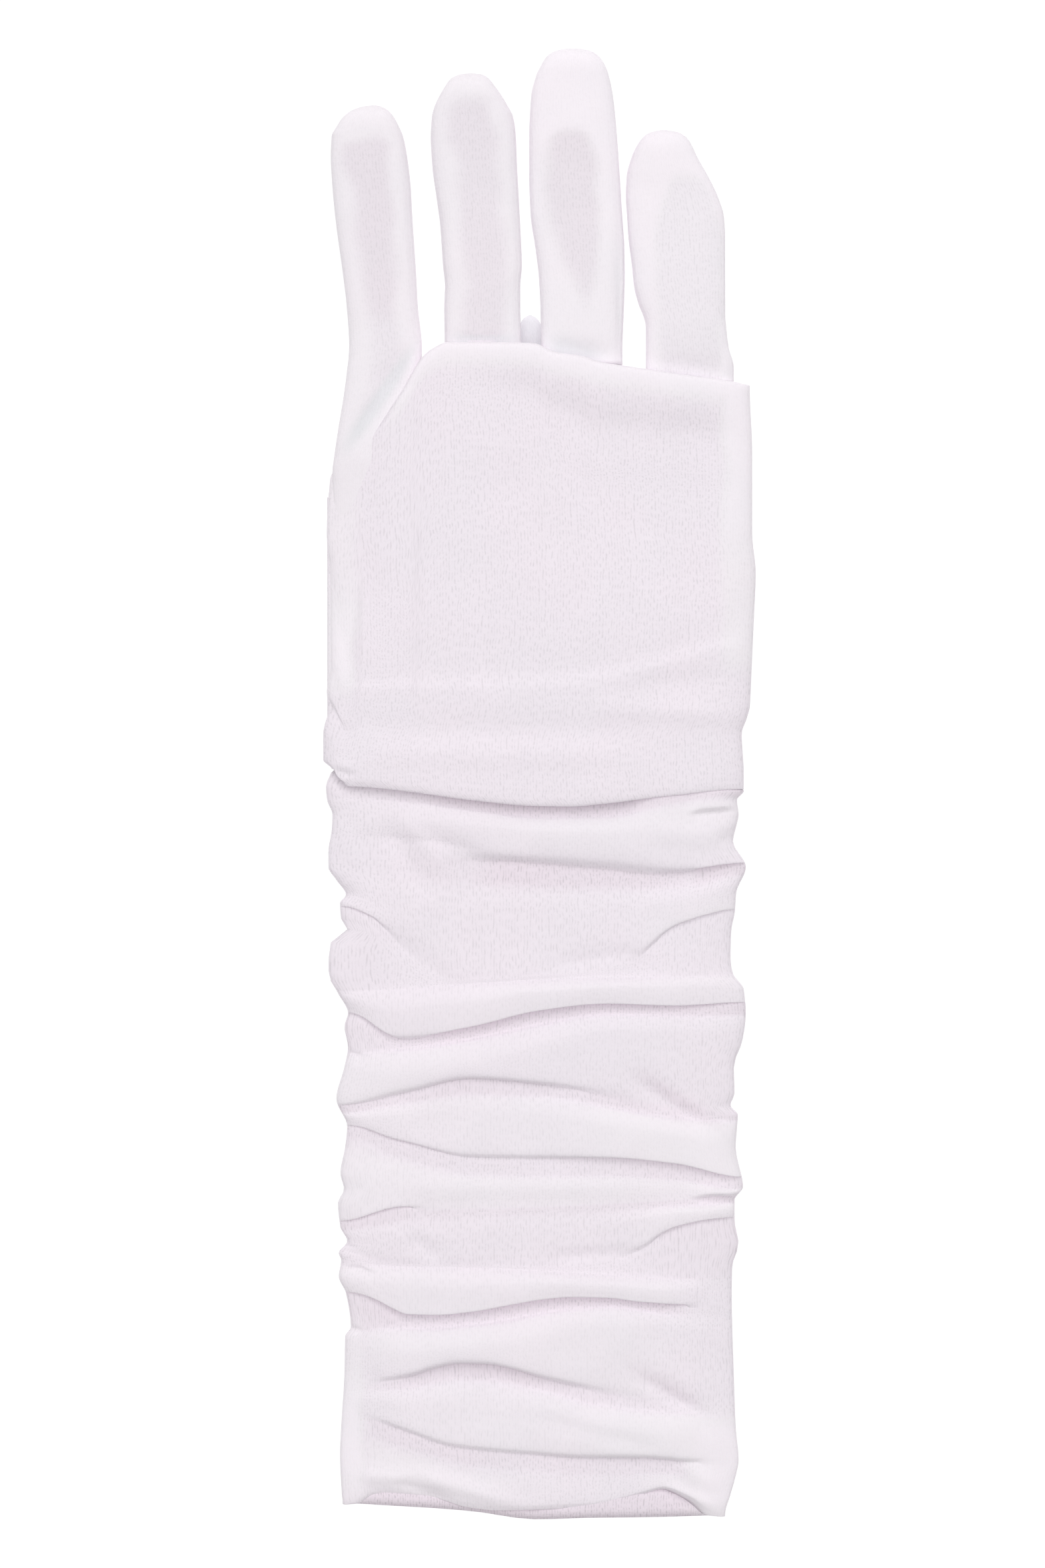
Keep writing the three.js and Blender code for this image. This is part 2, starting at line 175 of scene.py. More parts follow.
FOLDS = [
    dict(  # the cuff below the wrist
        head=line(-3.6, -4.2, -6.4, -8.4, -8.2, -4.2, -2.4),
        lip=line(-14.5, -16.0, -17.7, -18.9, -20.2, -21.6, -19.8),
        floor=across((-51, 9.6), (-46, 9.5), (20, 9.5), (27, 10.8), (34, 11.4), (51, 11.2)),
        steep=across((-51, 0.5), (-46, 0.9), (20, 0.9), (29, 0.2), (51, 0.1)),
        crest=across((-51, 0.5), (-34, 0.45), (0, 0.35), (51, 0.4)),
        crown=across((-51, 9.7), (-40, 10.1), (-24, 11.1), (0, 11.6), (30, 11.8), (51, 11.3)),
        brow=across((-51, 9.5), (-34, 9.6), (-22, 10.2), (-10, 10.9), (17, 11.0), (34, 11.2), (51, 11.0)),
        drop=across(
            (-51, -8), (-30, -8), (-20, -4), (-6, -2.2), (4, -2.4), (28, -2.8), (36, -0.4), (41, 0.9),
            (51, 0.8),
        ),
        white=across((-51, 0.1), (-20, 0.2), (0, 0.6), (34, 0.6)),
        faded=across(0.0),
        shade=across((-51, 0.0), (-20, 0.4), (-8, 1.1), (26, 1.1), (40, 0.5)),
    ),
    dict(  # the broad plain stretch, with a lip at each side
        head=line(-20.5, -22.5, -23.5, -24.5, -25.0, -25.0, -22.0),
        lip=across(
            (-51, -30.6), (-42, -33.2), (-38, -36.0), (-34, -39.6), (-27, -45.3), (-20, -47.3),
            (-10, -47.4), (0, -46.6), (8, -45.4), (17, -44.0), (25, -42.0), (28, -39.6), (31, -37.0),
            (34, -35.2), (42, -32.8), (51, -31.4),
        ),
        floor=across((-51, 9.5), (-34, 9.5), (-22, 9.3), (-8, 8.9), (0, 8.9), (30, 8.9), (51, 9.3)),
        steep=across(0.0),
        crest=across((-51, 0.5), (0, 0.35), (51, 0.5)),
        crown=across((-51, 10.3), (-34, 9.9), (-17, 9.5), (0, 9.4), (20, 9.7), (34, 10.8), (51, 11.2)),
        brow=across(
            (-51, 10.6), (-40, 10.2), (-31, 9.6), (0, 9.3), (17, 9.5), (26, 10.2), (34, 10.8),
            (51, 11.1),
        ),
        drop=across(
            (-51, 1.0), (-44, 0.9), (-40, 0.3), (-36, -2.5), (24, -3), (28, -0.5), (31, 0.5), (51, 1.0),
        ),
        white=across(0.0),
        faded=across((20, 0.0), (34, 0.5), (51, 0.6)),
        shade=across((-51, 0.0), (-38, 0.12), (-30, 0.0), (51, 0.0)),
    ),
    dict(
        head=line(-51.7, -51.0, -50.0, -48.9, -48.2, -48.0, -47.6),
        lip=line(-57.2, -63.2, -60.6, -56.6, -54.9, -55.4, -54.6),
        floor=across((-51, 9.7), (-34, 9.2), (-17, 9.1), (0, 9.1), (26, 9.2), (34, 9.7), (51, 10.0)),
        steep=across((-51, 0.3), (-40, 0.6), (51, 0.6)),
        crest=across((-51, 0.5), (-34, 0.45), (0, 0.4), (51, 0.35)),
        crown=across((-51, 10.9), (-34, 11.3), (0, 11.5), (34, 11.2), (51, 10.9)),
        brow=across((-51, 10.5), (-34, 10.6), (0, 10.9), (34, 10.6), (51, 10.3)),
        drop=across((-51, 1.0), (-40, 0.9), (-33, 0.3), (-25, 0.7), (0, 1.9), (34, 1.7), (51, 1.1)),
        white=across((-51, 0.1), (-34, 0.1), (-8, 0.4), (51, 0.4)),
        faded=across((-51, 0.3), (-34, 0.25), (-8, 0.45), (51, 0.4)),
        shade=across((-51, 0.15), (-40, 0.25), (-30, 0.48), (51, 0.48)),
    ),
    dict(
        head=line(-67.1, -66.2, -63.6, -60.0, -57.4, -57.8, -57.9),
        lip=line(-79.9, -76.5, -73.1, -74.4, -76.7, -79.2, -80.4),
        floor=across((-51, 9.0), (-34, 8.8), (0, 8.7), (20, 8.9), (34, 9.2), (51, 9.6)),
        steep=across((-51, 0.6), (-44, 0.9), (51, 0.9)),
        crest=across((-51, 0.45), (-34, 0.6), (-20, 0.65), (-8, 0.5), (8, 0.3), (34, 0.2), (51, 0.2)),
        crown=across((-51, 10.6), (-34, 11.3), (-8, 11.5), (8, 10.9), (20, 10.7), (34, 10.6), (51, 10.6)),
        brow=across(
            (-51, 10.2), (-34, 10.9), (-8, 11.2), (4, 10.8), (10, 10.3), (20, 10.0), (34, 9.8),
            (51, 9.9),
        ),
        drop=across((-51, 0.5), (-38, 0.2), (-17, 0.4), (0, 0.3), (6, -0.6), (12, -2), (30, -5), (51, -4)),
        white=across((-51, 0.5), (-30, 0.5), (-8, 0.2), (20, 0.1)),
        faded=across((-51, 0.6), (-36, 0.6), (-20, 0.0)),
        shade=across((-51, 0.5), (-20, 0.6), (8, 0.6), (51, 0.5)),
    ),
    dict(
        head=line(-82.0, -79.4, -76.9, -77.6, -80.5, -83.3, -84.1),
        lip=line(-85.2, -89.0, -92.5, -92.8, -93.1, -94.7, -98.1),
        floor=across(
            (-51, 9.2), (-40, 9.3), (-25, 9.6), (-8, 9.5), (4, 9.2), (15, 9.0), (34, 9.2), (51, 9.4),
        ),
        steep=across((-51, 0.5), (-30, 0.1), (-8, 0.1), (4, 0.5), (10, 0.8), (51, 0.9)),
        crest=across((-51, 0.4), (-20, 0.35), (8, 0.35), (30, 0.4), (51, 0.4)),
        crown=across(
            (-51, 10.4), (-40, 10.3), (-25, 10.1), (-8, 10.2), (4, 10.6), (15, 11.1), (30, 11.4),
            (51, 11.3),
        ),
        brow=across((-51, 10.2), (-34, 10.0), (-8, 10.1), (8, 10.6), (30, 11.1), (51, 11.2)),
        drop=across(
            (-51, 0.7), (-34, 0.6), (-20, 0.3), (-8, 0.1), (4, 0.3), (10, 0.5), (30, 0.9), (51, 1.0),
        ),
        white=across((-51, 0.4), (-30, 0.38), (8, 0.42), (20, 0.9), (51, 0.9)),
        faded=across((-8, 0.25), (8, 0.35), (30, 0.8), (51, 1.0)),
        shade=across(0.22),
    ),
    dict(
        head=line(-88.0, -93.0, -97.0, -97.5, -97.5, -98.5, -101.0),
        lip=line(-109.1, -105.4, -105.0, -104.6, -104.0, -103.2, -102.8),
        floor=across((-51, 9.3), (-34, 9.0), (0, 9.0), (34, 9.2), (51, 9.4)),
        steep=across(0.1),
        crest=across((-51, 0.6), (51, 0.6)),
        crown=across(
            (-51, 10.4), (-37, 10.0), (-22, 9.7), (0, 9.5), (30, 9.5), (36, 9.6), (44, 10.4), (51, 10.6),
        ),
        brow=across(
            (-51, 10.3), (-40, 10.2), (-32, 9.9), (-26, 9.6), (0, 9.4), (34, 9.5), (41, 10.0),
            (51, 10.4),
        ),
        drop=across((-51, 0.8), (-40, 0.9), (-32, 0.5), (-27, -3), (34, -3), (42, 0.4), (51, 0.7)),
        white=across((-51, 0.6), (-20, 0.62), (30, 0.6), (44, 0.68)),
        faded=across(0.4),
        shade=across(0.4),
    ),
    dict(
        head=line(-111.0, -108.5, -107.5, -107.0, -106.5, -105.2, -104.4),
        lip=across(
            (-51, -115.9), (-34, -118.9), (0, -118.8), (8, -118.4), (17, -117.4), (22, -116.6),
            (26, -115.0), (30, -112.2), (34, -110.4), (42, -108.8), (51, -108.2),
        ),
        floor=across((-51, 9.4), (-34, 9.3), (0, 9.4), (20, 9.3), (34, 9.4), (51, 9.6)),
        steep=across(0.2),
        crest=across((-51, 0.5), (0, 0.4), (25, 0.3), (51, 0.5)),
        crown=across((-51, 10.0), (-34, 9.8), (0, 9.6), (17, 9.7), (25, 10.1), (34, 10.7), (51, 11.0)),
        brow=across(
            (-51, 9.9), (-34, 9.6), (0, 9.4), (17, 9.5), (25, 9.9), (31, 10.3), (36, 10.5), (51, 10.8),
        ),
        drop=across((-51, 0.4), (-44, -2), (0, -4), (20, -2.5), (27, 0.1), (36, 0.9), (51, 1.0)),
        white=across((20, 0.0), (34, 0.7), (51, 0.8)),
        faded=across((20, 0.0), (34, 0.4), (51, 0.3)),
        shade=across((-51, 0.1), (20, 0.1), (30, 0.15), (51, 0.15)),
    ),
    dict(
        head=line(-119.8, -120.4, -120.7, -121.4, -122.3, -123.2, -122.8),
        lip=across(
            (-51, -126.8), (-46, -127.4), (-41, -128.8), (-37, -130.6), (-33, -132.2), (-26, -132.4),
            (-17, -131.6), (-8, -130.0), (0, -128.6), (8, -127.9), (17, -128.1), (25, -129.1), (34, -129.7),
            (51, -130.1),
        ),
        floor=across((-51, 9.4), (-34, 9.0), (0, 9.0), (30, 9.1), (40, 9.5), (51, 9.6)),
        steep=across((-51, 0.3), (-40, 0.6), (12, 0.6), (24, 0.2), (41, 0.0)),
        crest=across((-51, 0.5), (-34, 0.45), (34, 0.45), (51, 0.4)),
        crown=across(
            (-51, 10.7), (-34, 11.1), (0, 11.4), (20, 11.2), (32, 10.9), (38, 10.3), (44, 9.7),
            (51, 9.6),
        ),
        brow=across((-51, 10.4), (-34, 10.6), (0, 10.9), (30, 10.6), (37, 10.2), (41, 9.8), (51, 9.6)),
        drop=across((-51, 1.0), (-36, 1.1), (0, 1.4), (30, 1.2), (36, 0.7), (40, -2), (45, -5), (51, -6)),
        white=across((-51, 0.5), (-17, 0.3), (17, 0.4), (30, 0.5), (40, 0.0)),
        faded=across((-51, 0.5), (30, 0.5), (40, 0.0)),
        shade=across((-51, 0.2), (-36, 0.4), (30, 0.42), (41, 0.0)),
    ),
    dict(
        head=across(
            (-51, -135.8), (-37, -135.6), (-28, -135.7), (-17, -134.8), (-8, -133.6), (0, -132.0),
            (8, -130.8), (17, -130.3), (25, -131.0), (34, -132.2), (51, -132.6),
        ),
        lip=across(
            (-51, -149.0), (-40, -148.3), (-32, -147.1), (-26, -145.2), (-20, -144.1), (-13, -144.3),
            (-7, -145.4), (0, -147.4), (8, -149.2), (17, -150.8), (34, -153.0), (51, -154.9),
        ),
        floor=across((-51, 9.3), (-34, 8.8), (0, 8.8), (30, 9.0), (38, 9.5), (51, 9.6)),
        steep=across((-51, 0.1), (-44, 0.3), (-36, 0.9), (30, 0.9), (40, 0.1)),
        crest=across((-51, 0.4), (-37, 0.5), (-22, 0.6), (-8, 0.5), (8, 0.3), (34, 0.2), (51, 0.2)),
        crown=across(
            (-51, 9.6), (-44, 9.9), (-37, 10.9), (-22, 11.7), (-8, 11.9), (8, 11.2), (20, 10.8), (30, 10.4),
            (42, 9.8), (51, 9.6),
        ),
        brow=across(
            (-51, 9.5), (-44, 9.6), (-38, 10.4), (-30, 11.2), (-8, 11.6), (2, 11.1), (10, 10.5), (20, 9.9),
            (51, 9.6),
        ),
        drop=across(
            (-51, -6), (-43, -4), (-39, -1), (-34, 0.2), (-8, 0.5), (0, 0.3), (8, -1.2), (18, -3),
            (51, -5),
        ),
        white=across((-51, 0.0), (-40, 0.55), (-22, 0.6), (-8, 0.52), (20, 0.45), (36, 0.12)),
        faded=across((-51, 0.1), (-20, 0.2), (0, 0.4), (20, 0.4), (36, 0.0)),
        shade=across((-45, 0.0), (-37, 0.4), (-20, 0.7), (0, 0.62), (20, 0.3), (40, 0.0)),
    ),
    dict(
        head=across(
            (-51, -151.5), (-34, -150.4), (-20, -147.8), (-10, -148.2), (0, -150.7), (5.3, -152.3),
            (10.7, -153.9), (16, -154.9), (24, -156.1), (32, -156.5), (51, -156.9),
        ),
        lip=across(
            (-51, -155.9), (-43, -157.6), (-37, -159.5), (-31, -161.6), (-23, -164.3), (-18, -165.1),
            (-2, -166.5), (11, -167.4), (26, -167.5), (37, -168.3), (51, -168.4),
        ),
        floor=across(
            (-51, 9.5), (-38, 9.4), (-28, 9.0), (-8, 8.9), (2, 8.9), (12, 8.9), (34, 9.2), (42, 9.5),
        ),
        steep=across((-51, 0.0), (-34, 0.1), (-5, 0.2), (4, 0.8), (37, 0.8), (43, 0.2)),
        crest=across((-51, 0.4), (0, 0.45), (30, 0.5), (51, 0.5)),
        crown=across(
            (-51, 9.6), (-43, 9.8), (-34, 10.1), (-20, 10.1), (-8, 10.2), (2, 10.7), (12, 11.2), (28, 11.4),
            (38, 11.0), (44, 10.2), (51, 9.8),
        ),
        brow=across(
            (-51, 9.5), (-43, 9.7), (-36, 10.0), (-8, 10.0), (8, 10.4), (28, 11.0), (38, 10.7), (44, 10.0),
            (51, 9.7),
        ),
        drop=across(
            (-51, -6), (-45, -2), (-42, -0.5), (-36, 0.15), (-20, 0.1), (0, 0.15), (30, 0.3), (35, 0.2),
            (38, -1), (51, -5),
        ),
        white=across((-51, 0.1), (-30, 0.35), (0, 0.4), (17, 0.6), (30, 0.8), (51, 0.9)),
        faded=across((-51, 0.2), (-20, 0.35), (8, 0.4), (20, 0.7), (36, 0.7), (51, 0.9)),
        shade=across((-45, 0.0), (-41, 0.5), (-25, 0.6), (0, 0.45), (34, 0.4), (42, 0.0)),
    ),
    dict(  # the mouth, whose lip is the hem
        head=line(-159.5, -164.5, -169.0, -170.5, -171.2, -171.5, -171.7),
        lip=across(
            (-51, -179.6), (-46.6, -179.0), (-44.4, -177.9), (-42, -177.0), (-38, -176.8),
            (-28.6, -177.3), (-22.7, -178.8), (-18.8, -180.0), (-10, -180.9), (5, -180.5), (14, -180.1),
            (21, -178.4), (26, -176.9), (31, -175.7), (37, -177.9), (45.6, -182.0), (51, -182.6),
        ),
        floor=across(
            (-51, 9.4), (-43, 9.3), (-36, 8.9), (-17, 8.8), (0, 8.8), (34, 9.0), (41, 9.5), (51, 9.5),
        ),
        steep=across(0.0),
        crest=across(0.8),
        crown=across(
            (-51, 9.3), (-44, 9.1), (-38, 8.9), (-20, 8.9), (0, 9.2), (20, 9.0), (34, 9.3), (51, 9.6),
        ),
        brow=across(
            (-51, 9.1), (-44, 8.7), (-38, 8.4), (-20, 8.5), (0, 9.0), (20, 8.8), (34, 8.9), (51, 9.3),
        ),
        drop=across(-1.0),
        white=across((-51, 0.3), (-36, 0.75), (-20, 0.6), (0, 0.25), (20, 0.1), (34, 0.6), (51, 0.9)),
        faded=across((-51, 0.3), (-30, 0.6), (0, 0.3), (20, 0.0), (34, 0.6), (51, 0.9)),
    ),
]
UNDER_HEM = line(-179.6, -180.3, -181.5, -183.4, -182.9, -182.8, -182.6)

LEFT_GATHERS = smooth([
    (5.9, -54.0), (3.8, -51.9), (-0.8, -53.4), (-4.1, -53.1), (-7.8, -51.8), (-10.8, -51.9),
    (-17.4, -52.8), (-20.8, -52.8), (-24.1, -50.8), (-27.8, -48.4), (-29.8, -49.9), (-34.1, -49.6),
    (-37.1, -47.8), (-38.6, -51.6), (-41.4, -52.6), (-47.4, -52.8), (-52.4, -50.4), (-57.4, -47.9),
    (-60.8, -48.8), (-65.8, -47.9), (-70.8, -48.8), (-78.8, -50.8), (-85.8, -48.1), (-90.8, -48.6),
    (-97.4, -49.8), (-101.4, -48.9), (-104.8, -50.4), (-110.8, -49.8), (-114.4, -48.1), (-117.4, -50.2),
    (-119.1, -49.6), (-123.2, -50.2), (-127.4, -48.4), (-135.8, -47.2), (-138.2, -48.6), (-147.4, -48.8),
    (-160.8, -49.6), (-167.4, -49.9), (-177.4, -49.4), (-179.6, -49.2),
])
RIGHT_GATHERS = smooth([
    (2.6, 51.1), (-1.8, 51.1), (-4.1, 49.4), (-7.8, 49.8), (-11.1, 49.1), (-14.4, 48.4), (-20.8, 51.6),
    (-27.4, 49.2), (-31.8, 48.9), (-37.4, 47.9), (-44.1, 47.8), (-47.4, 48.4), (-51.4, 51.1),
    (-57.4, 51.6), (-64.1, 50.8), (-70.8, 48.6), (-77.4, 48.8), (-80.4, 47.8), (-82.8, 49.6),
    (-90.8, 49.1), (-100.8, 50.9), (-104.1, 48.8), (-109.1, 48.8), (-115.1, 49.8), (-120.8, 48.2),
    (-127.4, 48.1), (-147.4, 48.6), (-160.8, 49.1), (-169.1, 49.8), (-174.1, 48.8), (-177.4, 47.8),
    (-182.6, 46.4),
])

# Small soft valleys and ridges on the sleeve: a line through two points, its width and its height
SLEEVE_SWELLS = table(SWELL_COLUMNS, [
    ((-41.0, -7.0), (-27.0, -29.0), 3.0, -0.7),
    ((-35.0, -7.0), (-22.0, -24.0), 2.2, 0.5),
    ((-31.0, -11.0), (-14.0, -18.4), 2.4, -0.6),
    ((-50.0, -9.0), (-44.0, -24.0), 2.6, 0.5),
    ((-42.0, -33.5), (-21.0, -49.6), 2.4, -0.6),
    ((26.0, -12.0), (48.0, -13.5), 2.6, 0.7),
    ((21.0, -72.0), (44.0, -88.0), 2.2, -0.95),
    ((-42.0, -100.6), (30.0, -99.8), 2.4, 0.3),
    ((-33.0, -112.5), (-24.0, -119.0), 2.4, -0.8),
    ((0.0, -118.4), (27.0, -116.2), 1.8, -0.6),
    ((2.0, -45.6), (28.0, -41.2), 1.8, -0.6),
    ((21.0, -145.8), (43.0, -158.5), 1.9, -0.9),
    ((29.0, -144.0), (42.0, -152.6), 1.9, 0.4),
    ((-8.0, -156.0), (33.0, -166.4), 2.2, -0.45),
    ((-35.0, -171.0), (-4.0, -179.8), 2.1, 1.1),
    ((-38.0, -173.6), (-20.0, -178.6), 1.3, -0.5),
    ((-46.0, -172.4), (-31.0, -173.2), 1.8, 0.9),
    ((30.0, -174.4), (45.0, -180.6), 1.4, 0.8),
    ((33.0, -169.0), (46.0, -176.0), 2.6, 0.6),
])
# Where painted shade darkens the sleeve's cloth besides, beside two soft valleys, in the same way
SLEEVE_SHADES = table(SWELL_COLUMNS, [
    ((23.0, -71.2), (48.0, -87.2), 1.8, 0.45),
    ((20.0, -143.6), (42.0, -156.2), 1.5, 0.22),
])
# Short sharp lips on the sleeve: the cloth stands higher on the fingers' side of the line
SLEEVE_CREASES = table(CREASE_COLUMNS, [
    ([(36.0, -7.6), (41.0, -6.6), (48.5, -6.2)], 1.7, 0.35, 3.4),
    ([(43.5, -12.4), (49.5, -11.4)], 1.2, 0.45, 2.6),
    ([(-50.0, -66.0), (-43.5, -67.4)], 1.2, 0.45, 2.2),
    ([(37.0, -103.4), (44.0, -102.6), (50.0, -102.9)], 1.3, 0.45, 2.4),
    ([(-50.0, -120.2), (-45.0, -120.3), (-41.0, -121.5)], 1.2, 0.45, 2.2),
    ([(-50.0, -114.6), (-46.0, -115.2)], 0.9, 0.4, 2.0),
    ([(-49.0, -134.8), (-44.0, -135.8)], 0.9, 0.4, 2.0),
])


SWELL_FADE = 0.4                    # share of a swell's length over which it fades in and out
SWELL_END = 0.15                    # how far it has come up at its two points
CREASE_FADE = 5.0                   # length over which a crease fades in and out
CREASE_END = 0.4                    # how far it is still there at its last point


def swell(x, y, start, end, width, height):
    """A soft ridge, or a valley where its height is negative, along a straight line."""
    along_x, along_y = end[0] - start[0], end[1] - start[1]
    length = math.hypot(along_x, along_y)
    along = ((x - start[0]) * along_x + (y - start[1]) * along_y) / length
    aside = ((x - start[0]) * along_y - (y - start[1]) * along_x) / length
    fade = length * SWELL_FADE
    ends = ease(along / fade + SWELL_END) * ease((length - along) / fade + SWELL_END)
    return height * bell(aside, width) * ends


def crease(x, y, points, drop, width, reach):
    """A step across the cloth, highest just before the line and fading out at both ends of it."""
    first, last = points[0][0], points[-1][0]
    distance = y - smooth(points)(x)
    fade = min(CREASE_FADE, (last - first) * 0.5)
    ends = ease((x - first) / fade) * ease((last - x) / fade + CREASE_END)
    return 0.5 * drop * np.tanh(distance / width) * bell(distance, reach) * ends


def all_of(form, rows, x, y):
    """Every row's swell or crease together."""
    return sum(form(x, y, **row) for row in rows)


def spline_rows(control, steps):
    """Rows of a smooth surface that follows the control rows, with `steps` rows for each of them."""
    padded = np.concatenate([2 * control[:1] - control[1:2], control, 2 * control[-1:] - control[-2:-1]])
    rows = []
    for index in range(len(control) - 1):
        a, b, c, d = padded[index:index + 4]
        for step in range(steps):
            t = step / steps
            rows.append(
                ((1 - t) ** 3 * a + (3 * t ** 3 - 6 * t * t + 4) * b
                 + (-3 * t ** 3 + 3 * t * t + 3 * t + 1) * c + t ** 3 * d) / 6
            )
    rows.append((padded[-3] + 4 * padded[-2] + padded[-1]) / 6)
    return np.array(rows)


SLEEVE_TUCK = 6.0                   # how far the sleeve runs up under the lip of the hand
NOSE = 0.55                         # roundness of a lip
SHARP_DROP = 1.0                    # overhang from which a lip is as sharp as it gets
SLOPE = 1.5                         # least width of a lip without an overhang
LIP_FADE = 5.0                      # how far from its sides the sleeve's overhangs shrink
SIDE_TUCK = 0.25                    # share of the tuck that is left right at the sides
SIDE_DROP = 0.15                    # and share of an overhang

# Rows of a fold's head: how far it is to the crest and how much of the rise is done, where the head
# is soft, then where it is steep, with the steep part's own length in between
HEAD_ROWS = [
    (0.05, 0.05, 0.0, 0.10, 0.10), (0.18, 0.20, 0.0, 0.35, 0.34), (0.36, 0.44, 0.16, 0.35, 0.52),
    (0.56, 0.70, 0.40, 0.20, 0.75), (0.78, 0.91, 0.70, 0.10, 0.92),
]
# Rows of its lip: how far ahead of the lip as a share of a soft slope or of a sharp nose, and how
# far down as a share of the whole step or of the nose
NOSE_ROWS = [(0.5, 1.6, 0.0, 0.0), (0.1, 0.3, 0.3, 0.2), (-0.2, 0.0, 0.7, 0.9)]


def fold_rows(x):
    """Control rows (y, z, white) of the sleeve's upper side at the places x, from wrist to hem."""
    inside = ease((HALF_SPAN - np.abs(x)) / LIP_FADE)
    y_before = WRIST_LIP(x)
    ground = FOLDS[0]["floor"](x)
    tuck = SLEEVE_TUCK * mix(SIDE_TUCK, 1.0, inside)
    shade = -WRIST_SHADE(x)
    rows = [(y_before + tuck, ground, shade), (y_before + tuck * 0.5, ground, shade)]
    for index, fold in enumerate(FOLDS):
        size = {name: read(x) for name, read in fold.items()}
        head, lip, floor, crown, brow = (size[name] for name in ("head", "lip", "floor", "crown", "brow"))
        steep, white, faded, drop = (size[name] for name in ("steep", "white", "faded", "drop"))
        crest = mix(head, lip, size["crest"])
        sharp = ease(drop / SHARP_DROP)
        soft = np.clip(-drop, SLOPE, 0.8 * (crest - lip))
        is_hem = index + 1 == len(FOLDS)
        after = brow - CLOTH if is_hem else FOLDS[index + 1]["floor"](x)
        soft_after = soft if is_hem else np.minimum(soft, lip - FOLDS[index + 1]["head"](x))
        drop = np.maximum(drop, 0) * mix(SIDE_DROP, 1.0, inside)
        rows += [
            (mix(y_before, head, 0.4), floor, shade),
            (head + np.minimum(0.3, 0.3 * (y_before - head)), floor, shade * 0.9),
        ]
        for soft_way, soft_rise, steep_way, steep_step, steep_rise in HEAD_ROWS:
            steep_y = mix(head, crest, steep_way) - steep_step
            rows.append((
                mix(mix(head, crest, soft_way), steep_y, steep),
                mix(floor, crown, mix(soft_rise, steep_rise, steep)),
                mix(shade * (1 - 0.8 * steep), white, ease(soft_rise / 0.4)),
            ))
        rows += [
            (crest, crown, mix(white, faded, 0.3)),
            (mix(crest, lip, 0.5), mix(crown, brow, 0.4), mix(white, faded, 0.5)),
        ]
        for soft_way, nose_way, soft_fall, nose_fall in NOSE_ROWS:
            slope = soft if soft_way > 0 else soft_after
            rows.append((
                lip + mix(slope * soft_way, NOSE * nose_way, sharp),
                mix(mix(brow, after, soft_fall), brow - NOSE * nose_fall, sharp),
                faded,
            ))
        if not is_hem:
            shade = -size["shade"] * mix(0.5, 1.0, sharp)
            rolled = np.minimum(brow - NOSE * 1.8, mix(brow, after, 0.6))
            under = mix(mix(brow, after, 0.95), rolled, sharp)
            landing = mix(after, mix(under, after, 0.7), sharp)
            rows += [
                (lip + mix(-soft_after * 0.45, drop * 0.4, sharp), under, shade),
                (lip + mix(-soft_after * 0.6, drop, sharp), landing, shade),
            ]
        y_before = lip - mix(soft_after * 0.6, 0.0, sharp)
    return np.array([np.stack(row) for row in rows])


def shares_across(count):
    """Shares of the width, closer together towards both edges."""
    even = np.linspace(0, 1, count + 1)
    return mix(even, 0.5 - 0.5 * np.cos(np.pi * even), CLOSER_AT_EDGES)


def edge_rounding(shares, exponent):
    return (1 - np.abs(2 * shares - 1) ** exponent) ** (1 / exponent)


def both_sides(upper, lower):
    """Whole rings from the rows of an upper side and a lower side that share their edge points."""
    return np.concatenate([upper, lower[:, 1:-1][:, ::-1]], axis=1)


def ring_spacing(ring):
    """Lengths of cloth between the points of a ring, measured flat across the glove."""
    return np.abs(np.diff(ring[:, 0], append=ring[0, 0]))


